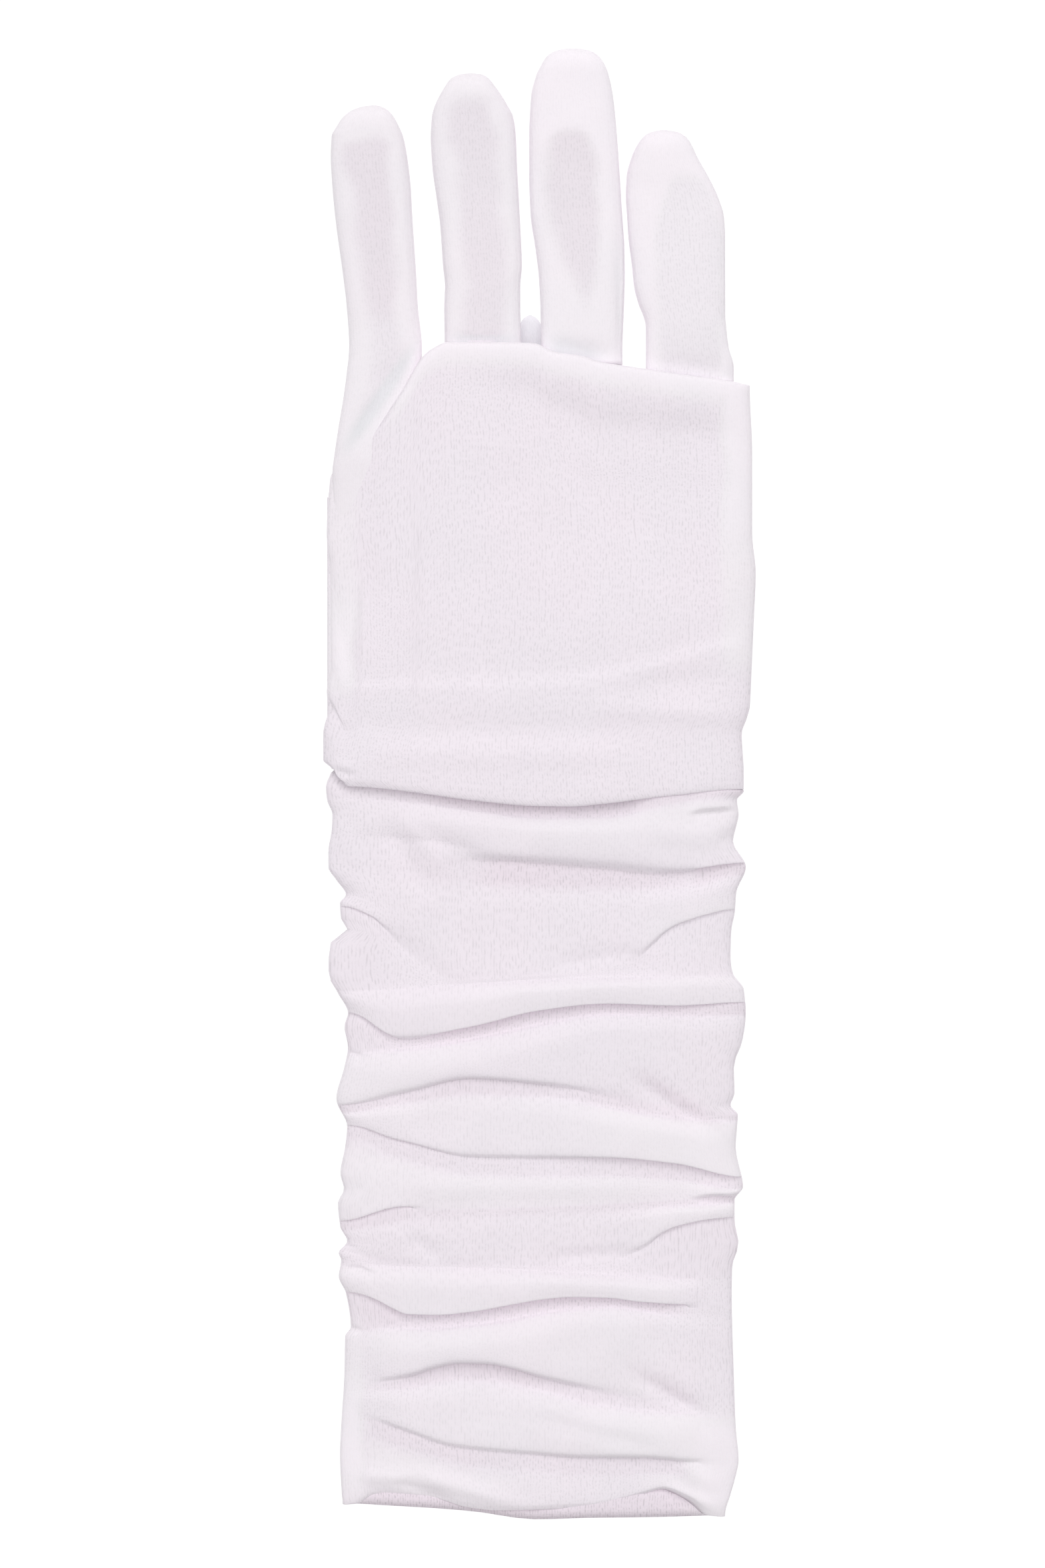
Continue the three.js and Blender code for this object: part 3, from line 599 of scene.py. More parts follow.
def closed_mesh(name, rings, looks, capped, spacing):
    """A smooth mesh through rings of points in millimetres.

    The last ring meets the first, or each end is closed where it is capped. The UV map counts
    millimetres of cloth round the ring and along it, so that the ribs keep their pitch. The looks
    are amounts at each point: the whitening amount is how far the cloth is painted whiter, towards a
    doubled turning and as painted light; depth how far it is darkened and made rosier, mostly as
    painted shade and on the fingers' single layer; ribs how plainly its knit shows, more in the
    painted shade; and shadow how far it is painted grey, as shadow and a little on the single layer.
    """
    row_count, point_count = rings.shape[:2]
    last_row = row_count - 1 if capped else row_count
    rows, points = np.meshgrid(np.arange(last_row), np.arange(point_count), indexing="ij")
    next_rows, next_points = (rows + 1) % row_count, (points + 1) % point_count
    corners = [(rows, points), (rows, next_points), (next_rows, next_points), (next_rows, points)]
    faces = np.stack([r * point_count + p for r, p in corners], -1).reshape(-1, 4)
    round_ring = np.concatenate([[0], np.cumsum(spacing)])
    down = np.linalg.norm(np.diff(rings, axis=0, append=rings[:1]), axis=2).mean(axis=1)
    down_rows = np.concatenate([[0], np.cumsum(down)])
    across_uv = np.stack([round_ring[points + step] for step in (0, 1, 1, 0)], -1)
    along_uv = np.stack([down_rows[rows + step] for step in (0, 0, 1, 1)], -1)
    polygons = faces.tolist()
    uvs = np.stack([across_uv, along_uv], -1).reshape(-1, 2).tolist()
    if capped:
        for row, turned in ((0, True), (row_count - 1, False)):
            for point in range(point_count // 2):
                cap = [point, point + 1, point_count - point - 1, (point_count - point) % point_count]
                cap = list(dict.fromkeys(cap))
                if turned:
                    cap.reverse()
                polygons.append([row * point_count + corner for corner in cap])
                uvs += [[round_ring[corner], down_rows[row]] for corner in cap]
    mesh = bpy.data.meshes.new(name)
    mesh.from_pydata((rings.reshape(-1, 3) * MM).tolist(), [], polygons)
    knit_map = mesh.uv_layers.new(name="knit")
    knit_map.data.foreach_set("uv", np.array(uvs, np.float32).ravel() * MM)
    for attribute_name, values in looks.items():
        attribute = mesh.attributes.new(attribute_name, "FLOAT", "POINT")
        attribute.data.foreach_set("value", values.astype(np.float32).ravel())
    mesh.polygons.foreach_set("use_smooth", [True] * len(mesh.polygons))
    mesh.validate()
    mesh.update()
    piece = bpy.data.objects.new(name, mesh)
    bpy.context.scene.collection.objects.link(piece)
    return piece


def place(piece, material, *nodes):
    """Gives a cloth piece its knit and lets it stand for its CAD nodes."""
    piece.data.materials.append(material)
    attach(piece, "root")
    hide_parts(*nodes)


SLEEVE_UPPER = 148                  # strips across the sleeve's upper side
SLEEVE_UNDER = 28                   # and across its underside
SLEEVE_STEPS = 3
SLEEVE_INNER_ROWS = 26
SLEEVE_FLOOR = 9.2                  # height of the cloth between two folds
SLEEVE_INSIDE = 47.0                # how far the hollow reaches to each side
TUCK_INSET = 2.0                    # how much narrower each side of the sleeve is inside the hand
TUCK_CHANGE = 1.6                   # over how much of its length it gets narrower
GATHER_REACH = 15.0                 # how far the gathers at the sides reach into the sleeve
GATHER_DEPTH = 1.5                  # of the gathers on the underside
HEM_REACH = 40.0                    # from where the underside runs straight to the hem
INNER_SPREAD = 1.4                  # how much closer the inner rows lie near the hem
INNER_DROP = 1.8                    # how far the hollow's top lies below the cloth between folds
INNER_GROUND = 2.6                  # height of the hollow's bottom
INNER_NARROWER = 0.965              # how wide the hollow is at the hem, as a share of the hem
WRIST_WALL = 0.3                    # how much nearer the hem the inner side ends at the wrist
MOUTH_SHADE = 0.6                   # how far painted shade darkens the lower wall inside the mouth
MOUTH_SHADED_ROWS = 5

# How high the sleeve's lower wall rises inside the mouth, and how high its side edges do
MOUTH_RISE = smooth([
    (-51, 5.6), (-40, 6.2), (-20, 6.0), (5, 6.2), (24, 6.4), (38, 6.4), (46, 6.2), (51, 5.6),
])
MOUTH_START = -162.0
MOUTH_LENGTH = 14.0
EDGE_RISE = 1.4
EDGE_RISE_LATER = 5.0               # how much nearer the hem the edges start to rise


def near_mouth(y):
    """0 where the sleeve lies on the floor and 1 at its mouth, where its lower wall is lifted."""
    return ease((MOUTH_START - y) / MOUTH_LENGTH) ** 2


def inside_hand(x, y, start):
    """1 where the sleeve runs inside the hand, and 0 before it has come past the hand's lip."""
    return ease((y - WRIST_LIP(x) - start) / TUCK_CHANGE)


def sleeve_under(left, right, left_y, right_y, z):
    """The sleeve's underside: gathers that run from edge to edge, pressed on the floor."""
    back = shares_across(SLEEVE_UNDER)[1:-1][::-1][None]
    rounding = edge_rounding(back, BROAD_EDGE)
    nominal = mix(-HALF_SPAN, HALF_SPAN, back)
    x = mix(left, right, back)
    y = mix(left_y[:, None], right_y[:, None], back)
    y = y + (UNDER_HEM(nominal) - y[-1:]) * ease((y - y[-1:] - HEM_REACH) / -HEM_REACH)

    phase = np.clip((z[:, ::30].mean(axis=1) - SLEEVE_FLOOR) / 3.0, 0, 1)[:, None]
    gathers = GATHER_DEPTH * (1 - phase) ** 2 * (0.6 + 0.4 * np.cos(back * 9.0 + phase * 3.0))
    lower = EDGE_HEIGHT - EDGE_HEIGHT * np.minimum(rounding * PRESSED_FLAT, 1.0)
    lower = lower + gathers * rounding + MOUTH_RISE(x) * near_mouth(y) * rounding
    lower = np.maximum(lower, inside_hand(nominal, y, -0.6) * (CLOTH + SEAM_GAP))
    return np.stack([x, y, lower], -1)


def sleeve_inner(outer):
    """Rows of the sleeve's inner side from the hem back to the wrist."""
    hem = outer[-1]
    is_upper = np.arange(len(hem)) <= SLEEVE_UPPER
    rows = []
    for share in np.arange(SLEEVE_INNER_ROWS) / (SLEEVE_INNER_ROWS - 1):
        way = share ** INNER_SPREAD
        row = outer[int(round(mix(len(outer) - 1, 0, way)))].copy()
        depth = ease(share * 8.0)
        ceiling = mix(hem[:, 2] - CLOTH, np.minimum(SLEEVE_FLOOR - INNER_DROP, hem[:, 2] - CLOTH), depth)
        ground = np.maximum(mix(hem[:, 2] + CLOTH, INNER_GROUND, depth), row[:, 2] + CLOTH)
        row[:, 2] = np.where(is_upper, ceiling, ground)
        row[:, 0] = np.clip(hem[:, 0] * INNER_NARROWER, -SLEEVE_INSIDE + depth, SLEEVE_INSIDE - depth)
        row[:, 1] = mix(hem[:, 1], outer[0][:, 1].mean() - WRIST_WALL, way)
        rows.append(row)
    rows[-1][:, 1] = outer[0][:, 1] - WRIST_WALL
    return np.array(rows)


def sleeve_rings():
    """Rings of the sleeve, its outer side from the wrist to the hem and its inner side back.

    With them comes how much each point's cloth is painted whiter as painted light, or darker as painted
    shade where it is negative.
    """
    shares = shares_across(SLEEVE_UPPER)
    nominal = mix(-HALF_SPAN, HALF_SPAN, shares)
    surface = spline_rows(fold_rows(nominal), SLEEVE_STEPS)
    y, z, white = surface[:, 0], surface[:, 1], surface[:, 2]
    settled = np.minimum.accumulate(y, axis=0)
    left_y, right_y = settled[:, 0], settled[:, -1]
    left = LEFT_GATHERS(left_y) + TUCK_INSET * inside_hand(-HALF_SPAN, left_y, -0.4)
    right = RIGHT_GATHERS(right_y) - TUCK_INSET * inside_hand(HALF_SPAN, right_y, -0.4)
    left, right = left[:, None], right[:, None]
    x = nominal[None] + (left + HALF_SPAN) * (1 - ease((nominal + HALF_SPAN) / GATHER_REACH))
    x = x + (right - HALF_SPAN) * (1 - ease((HALF_SPAN - nominal) / GATHER_REACH))
    relief = all_of(swell, SLEEVE_SWELLS, x, y) + all_of(crease, SLEEVE_CREASES, x, y)
    relief = relief + 0.16 * soft_noise(x, y, 9.0, 3) + 0.08 * soft_noise(x * 1.4, y, 4.0, 5)
    edge = EDGE_HEIGHT + EDGE_RISE * near_mouth(y + EDGE_RISE_LATER)
    upper = np.stack([x, y, edge + (z + relief - edge) * edge_rounding(shares, BROAD_EDGE)], -1)

    outer = np.concatenate([upper, sleeve_under(left, right, left_y, right_y, z)], axis=1)
    rings = np.concatenate([outer, sleeve_inner(outer)])
    whiteness = np.zeros(rings.shape[:2])
    whiteness[:len(white), :white.shape[1]] = white
    # painted shade on the lower wall inside the mouth, under the hem
    whiteness[len(white):len(white) + MOUTH_SHADED_ROWS, white.shape[1]:] = -MOUTH_SHADE
    return rings, whiteness


# How white the flat margins beside the lowest folds are, down the sleeve
LEFT_MARGIN = smooth([
    (-179, 0.2), (-173, 0.7), (-168, 1.0), (-158, 1.0), (-150, 0.7), (-144, 0.4), (-136, 0.3), (-131, 0.0),
])
RIGHT_MARGIN = smooth([(-182, 0.4), (-178, 1.0), (-162, 1.0), (-157, 0.2), (-150, 0.0)])


def make_sleeve(material):
    rings, white = sleeve_rings()
    x, y, z = rings[..., 0], rings[..., 1], rings[..., 2]
    waver = 0.8 * soft_noise(x, y, 7.0, 41)
    left = rise(waver - x, 42.4, 46.0) * LEFT_MARGIN(y)
    right = rise(waver + x, 34.0, 42.0) * RIGHT_MARGIN(y)
    margin = np.maximum(left, right) * rise(z, 3.0, 5.0)
    # Painted shade: below the lips and along SLEEVE_SHADES the cloth is painted darker and rosier and its
    # ribs show more; where the folds rise towards the lamps it is painted whiter as painted light, and its
    # ribs show less.
    shaded = all_of(swell, SLEEVE_SHADES, x, y) * rise(z, 5.0, 7.0)
    depth = np.maximum(-white, shaded).clip(0) * (1 - margin)
    ribs = mix(1.0, 0.55, rise(z, 9.4, 10.8)) * (1 - margin) * (1 - 0.9 * np.maximum(white, 0))
    looks = dict(whitening=np.maximum(margin, 0.6 * white), depth=depth, ribs=ribs * (1 + 1.1 * depth))
    piece = closed_mesh("sleeve_cloth", rings, looks, False, ring_spacing(rings[len(rings) // 2]))
    place(piece, material, "ruched_sleeve")


# Hand
HAND_HALF = 52.2
PALM_TOP = 12.0
HAND_LEFT = smooth([
    (3.7, -52.0), (5.9, -54.1), (12.6, -54.1), (15.9, -53.4), (19.2, -52.3), (22.6, -53.2), (29.2, -52.4),
    (52.0, -52.5), (62.6, -53.2), (75.9, -52.4), (78.3, -51.8),
])
HAND_RIGHT = smooth([
    (-1.4, 51.1), (2.6, 51.1), (12.6, 50.6), (15.9, 51.7), (19.2, 52.6), (29.2, 53.1), (42.6, 53.7),
    (52.6, 54.1), (62.6, 53.2), (82.6, 53.2), (99.2, 52.6),
])
KNUCKLE_LINE = smooth([
    (-52.2, 77.6), (-44.1, 85.9), (-42.9, 86.8), (-34.9, 97.6), (-29.6, 106.4), (-26.5, 108.8),
    (-23.2, 110.1), (-11.6, 110.1), (-1.6, 109.8), (3.4, 107.7), (10.1, 106.7), (15.1, 105.1),
    (20.1, 104.3), (31.7, 102.6), (46.7, 100.6), (52.6, 99.6),
])
# Height of the knuckle roll, which sinks to the level of the little finger beside it
ROLL_TOP = smooth([
    (-52, 8.8), (-47, 9.0), (-43, 9.7), (-38, 10.8), (-33, 11.5), (-26, 12.1), (-15, 12.4), (0, 12.5),
    (52, 12.5),
])
ROLL_DIP = smooth([
    (-30, 0.0), (-20, 0.2), (-12, 0.7), (0, 1.6), (10, 2.2), (40, 2.2), (47, 0.9), (52, 0.7),
])
ROLL_WIDTH = smooth([(-34, 0.7), (-15, 0.75), (0, 0.86), (15, 1.08), (28, 1.0), (52, 0.95)])

# Rows round the wrist lip: how far behind it, and the heights of the upper and the lower wall
LIP_ROWS = [
    (7.0, 11.1, 1.0), (3.0, 11.1, 1.0), (1.0, 11.1, 1.0), (0.1, 11.2, 0.95), (-0.1, 11.6, 0.5),
    (0.3, 12.0, 0.05), (1.3, 12.3, 0.0), (3.0, 12.4, 0.0), (6.0, 12.4, 0.0),
]
# Rows of the knuckle roll: how far behind the knuckle line, and the upper wall against the roll's
# height, with the share of the dip, and the lower wall
ROLL_ROWS = [
    (24.0, 0.0, 0.95, 0.0), (19.0, 0.0, 1.0, 0.0), (16.0, 0.0, 0.98, 0.0), (14.0, 0.0, 0.86, 0.0),
    (12.0, 0.0, 0.6, 0.0), (10.0, 0.0, 0.32, 0.0), (8.0, 0.0, 0.12, 0.0), (6.0, 0.0, 0.0, 0.0),
    (4.0, 0.05, 0.0, 0.0), (2.2, 0.0, 0.0, 0.1), (1.0, -0.25, 0.0, 0.7), (0.35, -0.85, 0.0, 1.8),
    (0.05, -2.2, 0.0, 3.4), (0.2, -5.6, 0.0, 5.2),
]
HAND_SWELLS = table(SWELL_COLUMNS, [
    ((-50.0, 7.2), (30.0, 7.0), 3.2, 0.45),
    ((-48.0, 13.6), (30.0, 12.6), 3.6, -0.55),
    ((12.0, 19.4), (53.0, 16.4), 2.4, 0.6),
    ((22.0, 24.6), (50.0, 26.0), 3.2, -0.5),
])
# The heel's crease stands higher on the wrist's side, so its drop is negative
HAND_CREASES = table(CREASE_COLUMNS, [
    ([(-49.0, 24.6), (-26.0, 25.2), (0.0, 25.6), (14.0, 27.0), (28.0, 30.4), (50.0, 35.4)],
     -0.75, 0.8, 7.0),
    ([(-53.0, 4.6), (-50.8, 3.9), (-46.0, 3.0)],
     1.2, 0.5, 2.4),
])
BODY_ROWS = 15                      # between the wrist lip and the knuckle roll
HEEL_TOP = 12.3
HAND_SEGMENTS = 140
HAND_STEPS = 4
HAND_INNER_ROWS = 14
HAND_INNER_DROP = 4.2               # how far the hollow's top lies below the knuckle roll
HAND_INNER_END = 6.0                # how far behind the knuckle line the hollow ends
HAND_INNER_CLOSED = (5.2, 5.6)      # heights of its bottom and top there
THUMB_ROOT_WAY = (0.62, -0.78)      # towards which the thumb comes out of the palm


def hand_rows(x):
    """Control rows (y, upper z, lower z) of the hand at the places x, from the lip to the knuckles."""
    lip, front = WRIST_LIP(x), KNUCKLE_LINE(x)
    roll, dip, width = ROLL_TOP(x), ROLL_DIP(x), ROLL_WIDTH(x)
    slant = np.sqrt(1 + np.gradient(front, x) ** 2)
    level = np.zeros_like(x)
    rows = [(lip + behind, level + top, level + under) for behind, top, under in LIP_ROWS]
    body_start, body_end = lip + LIP_ROWS[-1][0], front - ROLL_ROWS[0][0] * slant
    for share in np.linspace(0.06, 0.94, BODY_ROWS):
        height = mix(HEEL_TOP, PALM_TOP, rise(share, 0.0, 0.4))
        height = mix(height, np.minimum(roll - dip, PALM_TOP), rise(share, 0.4, 1.0))
        rows.append((mix(body_start, body_end, share), level + height, level))
    beside_finger = rise(x, -41.0, -47.0)
    for behind, above, dipped, under in ROLL_ROWS:
        upper = roll + above * (1 - 0.75 * beside_finger * (above < 0)) - dipped * dip
        upper = upper - 0.7 * beside_finger * rise(behind, 7.0, 0.0)
        lower = mix(level + under, roll * under / 5.8, beside_finger)
        rows.append((front - mix(behind, behind * width, ease(behind / 5.0)) * slant, upper, lower))
    return np.array([np.stack(row) for row in rows])


def thumb_hollow(x, y):
    """How high the palm's lower wall is lifted over the folded thumb."""
    shares = np.linspace(0, 1, THUMB_STATIONS)
    centre = thumb_axis(shares)
    apart = np.hypot(x[..., None] - centre[:, 0], y[..., None] - centre[:, 1])
    clear = (apart - THUMB_WIDTHS(shares)).min(axis=-1)
    beside = 1 - ease((clear - SEAM_GAP) / THUMB_CLEAR_FADE)
    past_root = (x - centre[0, 0]) * THUMB_ROOT_WAY[0] + (y - centre[0, 1]) * THUMB_ROOT_WAY[1]
    return THUMB_CLEAR * beside * (1 - rise(past_root, 0.2, 1.8))


def hand_rings():
    """Rings of the hand's inner side from the knuckles to the lip, then of its outer side back."""
    shares = shares_across(HAND_SEGMENTS)
    nominal = mix(-HAND_HALF, HAND_HALF, shares)
    surface = spline_rows(hand_rows(nominal), HAND_STEPS)
    y, top, under = surface[:, 0], surface[:, 1], surface[:, 2]
    left, right = HAND_LEFT(y[:, 0])[:, None], HAND_RIGHT(y[:, -1])[:, None]
    rounding = edge_rounding(shares, BROAD_EDGE)[None]
    pressed = np.minimum(rounding * PRESSED_FLAT, 1.0)

    def walls(x, y, top, under):
        lifted = under + thumb_hollow(x, y)
        upper = np.stack([x, y, EDGE_HEIGHT + (top - EDGE_HEIGHT) * rounding], -1)
        lower = np.stack([x, y, EDGE_HEIGHT - (EDGE_HEIGHT - lifted) * pressed], -1)
        return both_sides(upper, lower)

    x = mix(left, right, shares[None])
    relief = all_of(swell, HAND_SWELLS, x, y) + all_of(crease, HAND_CREASES, x, y)
    relief = relief + 0.14 * soft_noise(x, y, 11.0, 11) + 0.05 * soft_noise(x, y, 5.0, 12)
    outer = walls(x, y, top + relief, under)

    ways = np.linspace(0, 1, HAND_INNER_ROWS)[:, None]
    closing = ease(ways * 9.0)
    inner_x = mix(left[:1] + CLOTH, right[:1] - CLOTH, shares[None]) * np.ones_like(ways)
    inner_y = mix((KNUCKLE_LINE(nominal) - HAND_INNER_END)[None], y[:1], ways)
    ceiling = np.minimum(ROLL_TOP(nominal), PALM_TOP)[None] - HAND_INNER_DROP
    closed_bottom, closed_top = HAND_INNER_CLOSED
    inner_top = mix(closed_top, mix(ceiling, top[:1], ways), closing)
    inner_under = mix(closed_bottom, CLOTH, closing) * np.ones_like(inner_y)
    return np.concatenate([walls(inner_x, inner_y, inner_top, inner_under)[:-1], outer])


# How much whiter the hand's two sides are painted, from the wrist to the knuckles: their seam turnings, and
# painted light on the rounded sides
LEFT_BAND = smooth([(19, 0.0), (28, 0.75), (38, 0.65), (50, 0.35), (70, 0.35), (80, 0.5), (92, 0.6)])
RIGHT_BAND = smooth([(24, 0.0), (34, 0.6), (50, 0.5), (58, 0.55), (66, 0.85), (100, 1.0)])
ROLL_WHITE = 0.85                   # and how much painted light whitens the knuckle roll's front


def make_hand(material):
    rings = hand_rings()
    x, y, z = rings[..., 0], rings[..., 1], rings[..., 2]
    waver = 1.2 * soft_noise(x, y, 9.0, 42)
    # The sides and the knuckle roll's front are painted whiter, partly as painted light where they catch
    # the lamps; the ribs show less there.
    right_band = rise(waver + x, 43.6, 48.0) * RIGHT_BAND(y)
    left_band = rise(waver - x, 43.6, 47.4) * LEFT_BAND(y)
    roll_band = ROLL_WHITE * rise(y - KNUCKLE_LINE(x), -8.5, -2.5) * rise(x, -40.0, -32.0)
    whitening = np.maximum(np.maximum(right_band, left_band), roll_band) * rise(z, 4.0, 6.0)
    looks = dict(whitening=whitening, ribs=1.05 * (1 - whitening))
    piece = closed_mesh("hand_cloth", rings, looks, True, ring_spacing(rings[len(rings) // 2]))
    place(piece, material, "hand")


# Finger stalls. Each has its outline as (y, left, right) from the hand to the tip. The single layer
# of cloth inside its seam turnings is thin, as (y, left, right), and soft is over what width it
# changes at its left, its right and its end. As (y, amount), band is how much whiter the turnings
# are painted, partly as painted light on the rounded edges, and middle how much darker and rosier
# the single layer looks. The stall's base lies lift above the floor and runs inset into the hand,
# where its top sinks by sink for each millimetre. The seam of the upper side lies seam inside the
# right edge.
STALLS = {
    "little_finger": dict(
        outline=[
            (77.5, -51.8, -38.0), (81.8, -51.3, -36.0), (89.3, -50.2, -32.6), (95.9, -49.1, -30.6),
            (101.8, -48.3, -29.7), (109.2, -47.6, -29.4), (119.2, -48.2, -30.4), (126.8, -49.1, -30.8),
            (141.8, -51.1, -31.8), (149.2, -51.8, -32.2), (156.8, -52.2, -33.1), (161.8, -52.0, -34.1),
            (164.2, -50.8, -35.1), (166.8, -48.9, -36.5), (168.6, -46.3, -38.2), (169.4, -43.6, -39.8),
            (169.7, -42.0, -40.8),
        ],
        thin=[
            (98.0, -42.2, -34.6), (112.0, -42.4, -35.2), (120.0, -42.7, -36.2), (130.0, -44.4, -36.4),
            (140.0, -45.6, -36.2), (150.0, -47.2, -37.8), (155.0, -49.0, -38.0), (159.0, -49.4, -37.6),
            (161.5, -47.0, -39.0),
        ],
        soft=(4.8, 4.2, 4.0),
        band=[(78, 0.44), (104, 0.5), (150, 0.44), (166, 0.5)],
        middle=[(96, 0.05), (104, 0.15), (112, 0.22), (120, 0.5), (160, 0.56)],
        lift=1.4, inset=24.0, sink=0.115, seam=1.0,
    ),
    "ring_finger": dict(
        outline=[
            (110.5, -23.7, -4.6), (119.2, -23.8, -4.8), (124.2, -23.6, -4.8), (129.2, -24.1, -4.4),
            (139.2, -24.8, -4.8), (146.8, -25.8, -5.2), (154.2, -26.8, -5.6), (161.8, -27.2, -5.9),
            (166.8, -26.9, -6.6), (169.2, -26.3, -7.8), (171.8, -25.1, -9.3), (174.2, -23.7, -11.0),
            (176.2, -22.2, -12.6), (177.2, -20.3, -14.0), (177.7, -18.2, -16.2),
        ],
        thin=[
            (100.0, -18.6, -9.4), (114.0, -18.6, -9.2), (122.0, -18.4, -8.4), (134.0, -19.6, -8.7),
            (146.0, -20.2, -9.7), (154.0, -20.8, -10.4), (160.0, -22.0, -11.0), (166.0, -23.2, -12.2),
            (173.0, -21.6, -13.4),
        ],
        soft=(5.4, 5.0, 7.0),
        band=[(112, 0.52), (160, 0.46), (174, 0.46)],
        middle=[(112, 0.42), (150, 0.45), (168, 0.5)],
        lift=2.7, inset=3.0, sink=0.1, seam=1.0,
    ),
    "middle_finger": dict(
        outline=[
            (107.5, 0.4, 20.7), (119.2, 0.2, 21.1), (126.8, -0.2, 21.3), (134.2, -1.1, 21.2),
            (141.8, -2.2, 20.7), (151.8, -2.6, 20.1), (161.8, -2.6, 19.4), (171.8, -2.1, 18.4),
            (176.8, -0.9, 17.4), (179.2, 0.2, 16.6), (181.8, 1.8, 14.9), (183.0, 3.6, 13.2),
            (183.7, 5.8, 10.8), (183.9, 7.4, 9.2),
        ],
        thin=[
            (119.0, 10.2, 12.2), (124.0, 9.2, 13.2), (130.0, 6.2, 14.3), (138.0, 4.0, 14.3),
            (146.0, 1.7, 14.6), (154.0, 1.2, 13.8), (160.0, 2.4, 12.8), (164.0, 4.4, 10.6),
        ],
        soft=(5.6, 4.4, 4.5),
        band=[(108, 0.6), (134, 0.65), (150, 0.85), (176, 0.95)],
        middle=[(118, 0.3), (130, 0.44), (160, 0.5)],
        lift=2.9, inset=3.0, sink=0.1, seam=1.2,
    ),
    "index_finger": dict(
        outline=[
            (104.0, 26.5, 48.5), (109.0, 26.5, 47.2), (114.2, 26.5, 46.6), (116.8, 25.9, 46.4),
            (119.2, 24.9, 46.4), (124.2, 23.6, 46.4), (129.2, 23.1, 46.4), (136.8, 22.2, 46.4),
            (141.8, 21.9, 46.1), (146.8, 21.6, 44.6), (151.8, 21.8, 42.2), (156.8, 23.1, 39.4),
            (159.2, 24.2, 38.3), (161.4, 25.7, 36.9), (162.8, 27.6, 34.8), (163.5, 30.0, 32.2),
        ],
        thin=[
            (95.0, 29.4, 45.4), (118.0, 29.6, 45.4), (126.0, 29.2, 45.4), (134.0, 28.4, 45.2),
            (142.0, 30.2, 44.0), (150.0, 32.2, 41.0), (153.0, 33.5, 39.0),
        ],
        soft=(3.6, 2.6, 5.0),
        band=[(104, 0.74), (150, 0.8), (160, 0.88)],
        middle=[(104, 0.16), (112, 0.12), (120, 0.05), (150, 0.0)],
        lift=2.8, inset=4.0, sink=0.1, seam=0.9,
    ),
}
FINGER_HEIGHT = 8.8
FINGER_BASE_HEIGHT = 8.0
FINGER_SWELLING = 40.0              # length over which a finger gets its full height
LIFT_LENGTH = 46.0                  # and over which it comes down to the floor
TIP_ROUNDING = 7.0
TIP_BLUNTNESS = 2.6
TIP_REST = 2.2                      # height at which the closed tip pinches together
TIP_HALF = 0.3                      # half the width that is left there
TIP_THICKNESS = 0.5
SINK_START = 3.0                    # how far beyond its base a stall starts to sink to the hand
SEAM_DEPTH = 0.3
SEAM_WIDTH = 0.4
STALL_SEGMENTS = 40
STALL_ROWS = 120
INNER_EVERY = 6                     # the inner side has one row for so many of the outer side
STALL_SWELLS = table(SWELL_COLUMNS, [
    ((-1.0, 108.8), (19.0, 104.8), 3.2, -1.1),
    ((-24.0, 110.2), (-5.0, 110.0), 1.2, -1.1),
    ((-47.0, 84.4), (-31.0, 109.4), 3.0, -1.5),
    ((28.0, 103.0), (48.0, 100.6), 4.6, -1.0),
    ((19.2, 136.0), (20.2, 108.0), 1.1, -0.5),
])
# Painted shade in the stalls' creases, under the knuckle roll and along the middle finger's seam, in the
# same way as the swells
STALL_SHADES = table(SWELL_COLUMNS, [
    ((-50.0, 80.9), (-29.6, 111.3), 1.8, 1.2),
    ((-0.5, 109.3), (17.5, 105.6), 2.6, 0.95),
    ((-25.0, 110.8), (-3.0, 110.6), 1.3, 1.0),
    ((24.0, 103.6), (50.0, 101.0), 1.6, 0.35),
    ((19.2, 136.0), (20.0, 107.0), 0.8, 0.3),
])


def thin_share(x, y, thin, soft):
    """1 where the cloth is a single layer and 0 over the seam turnings, soft between them."""
    left, right = (edge(y) for edge in edges(thin))
    first, last = thin[0][0], thin[-1][0]
    wave = 0.8 * soft_noise(x, y, 6.0, 31)
    inside = ease((x - left + wave) / soft[0] + 0.5) * ease((right - x + wave) / soft[1] + 0.5)
    return inside * ease((last + 1.0 - y + wave) / soft[2]) * rise(y - first, -4.0, 4.0)


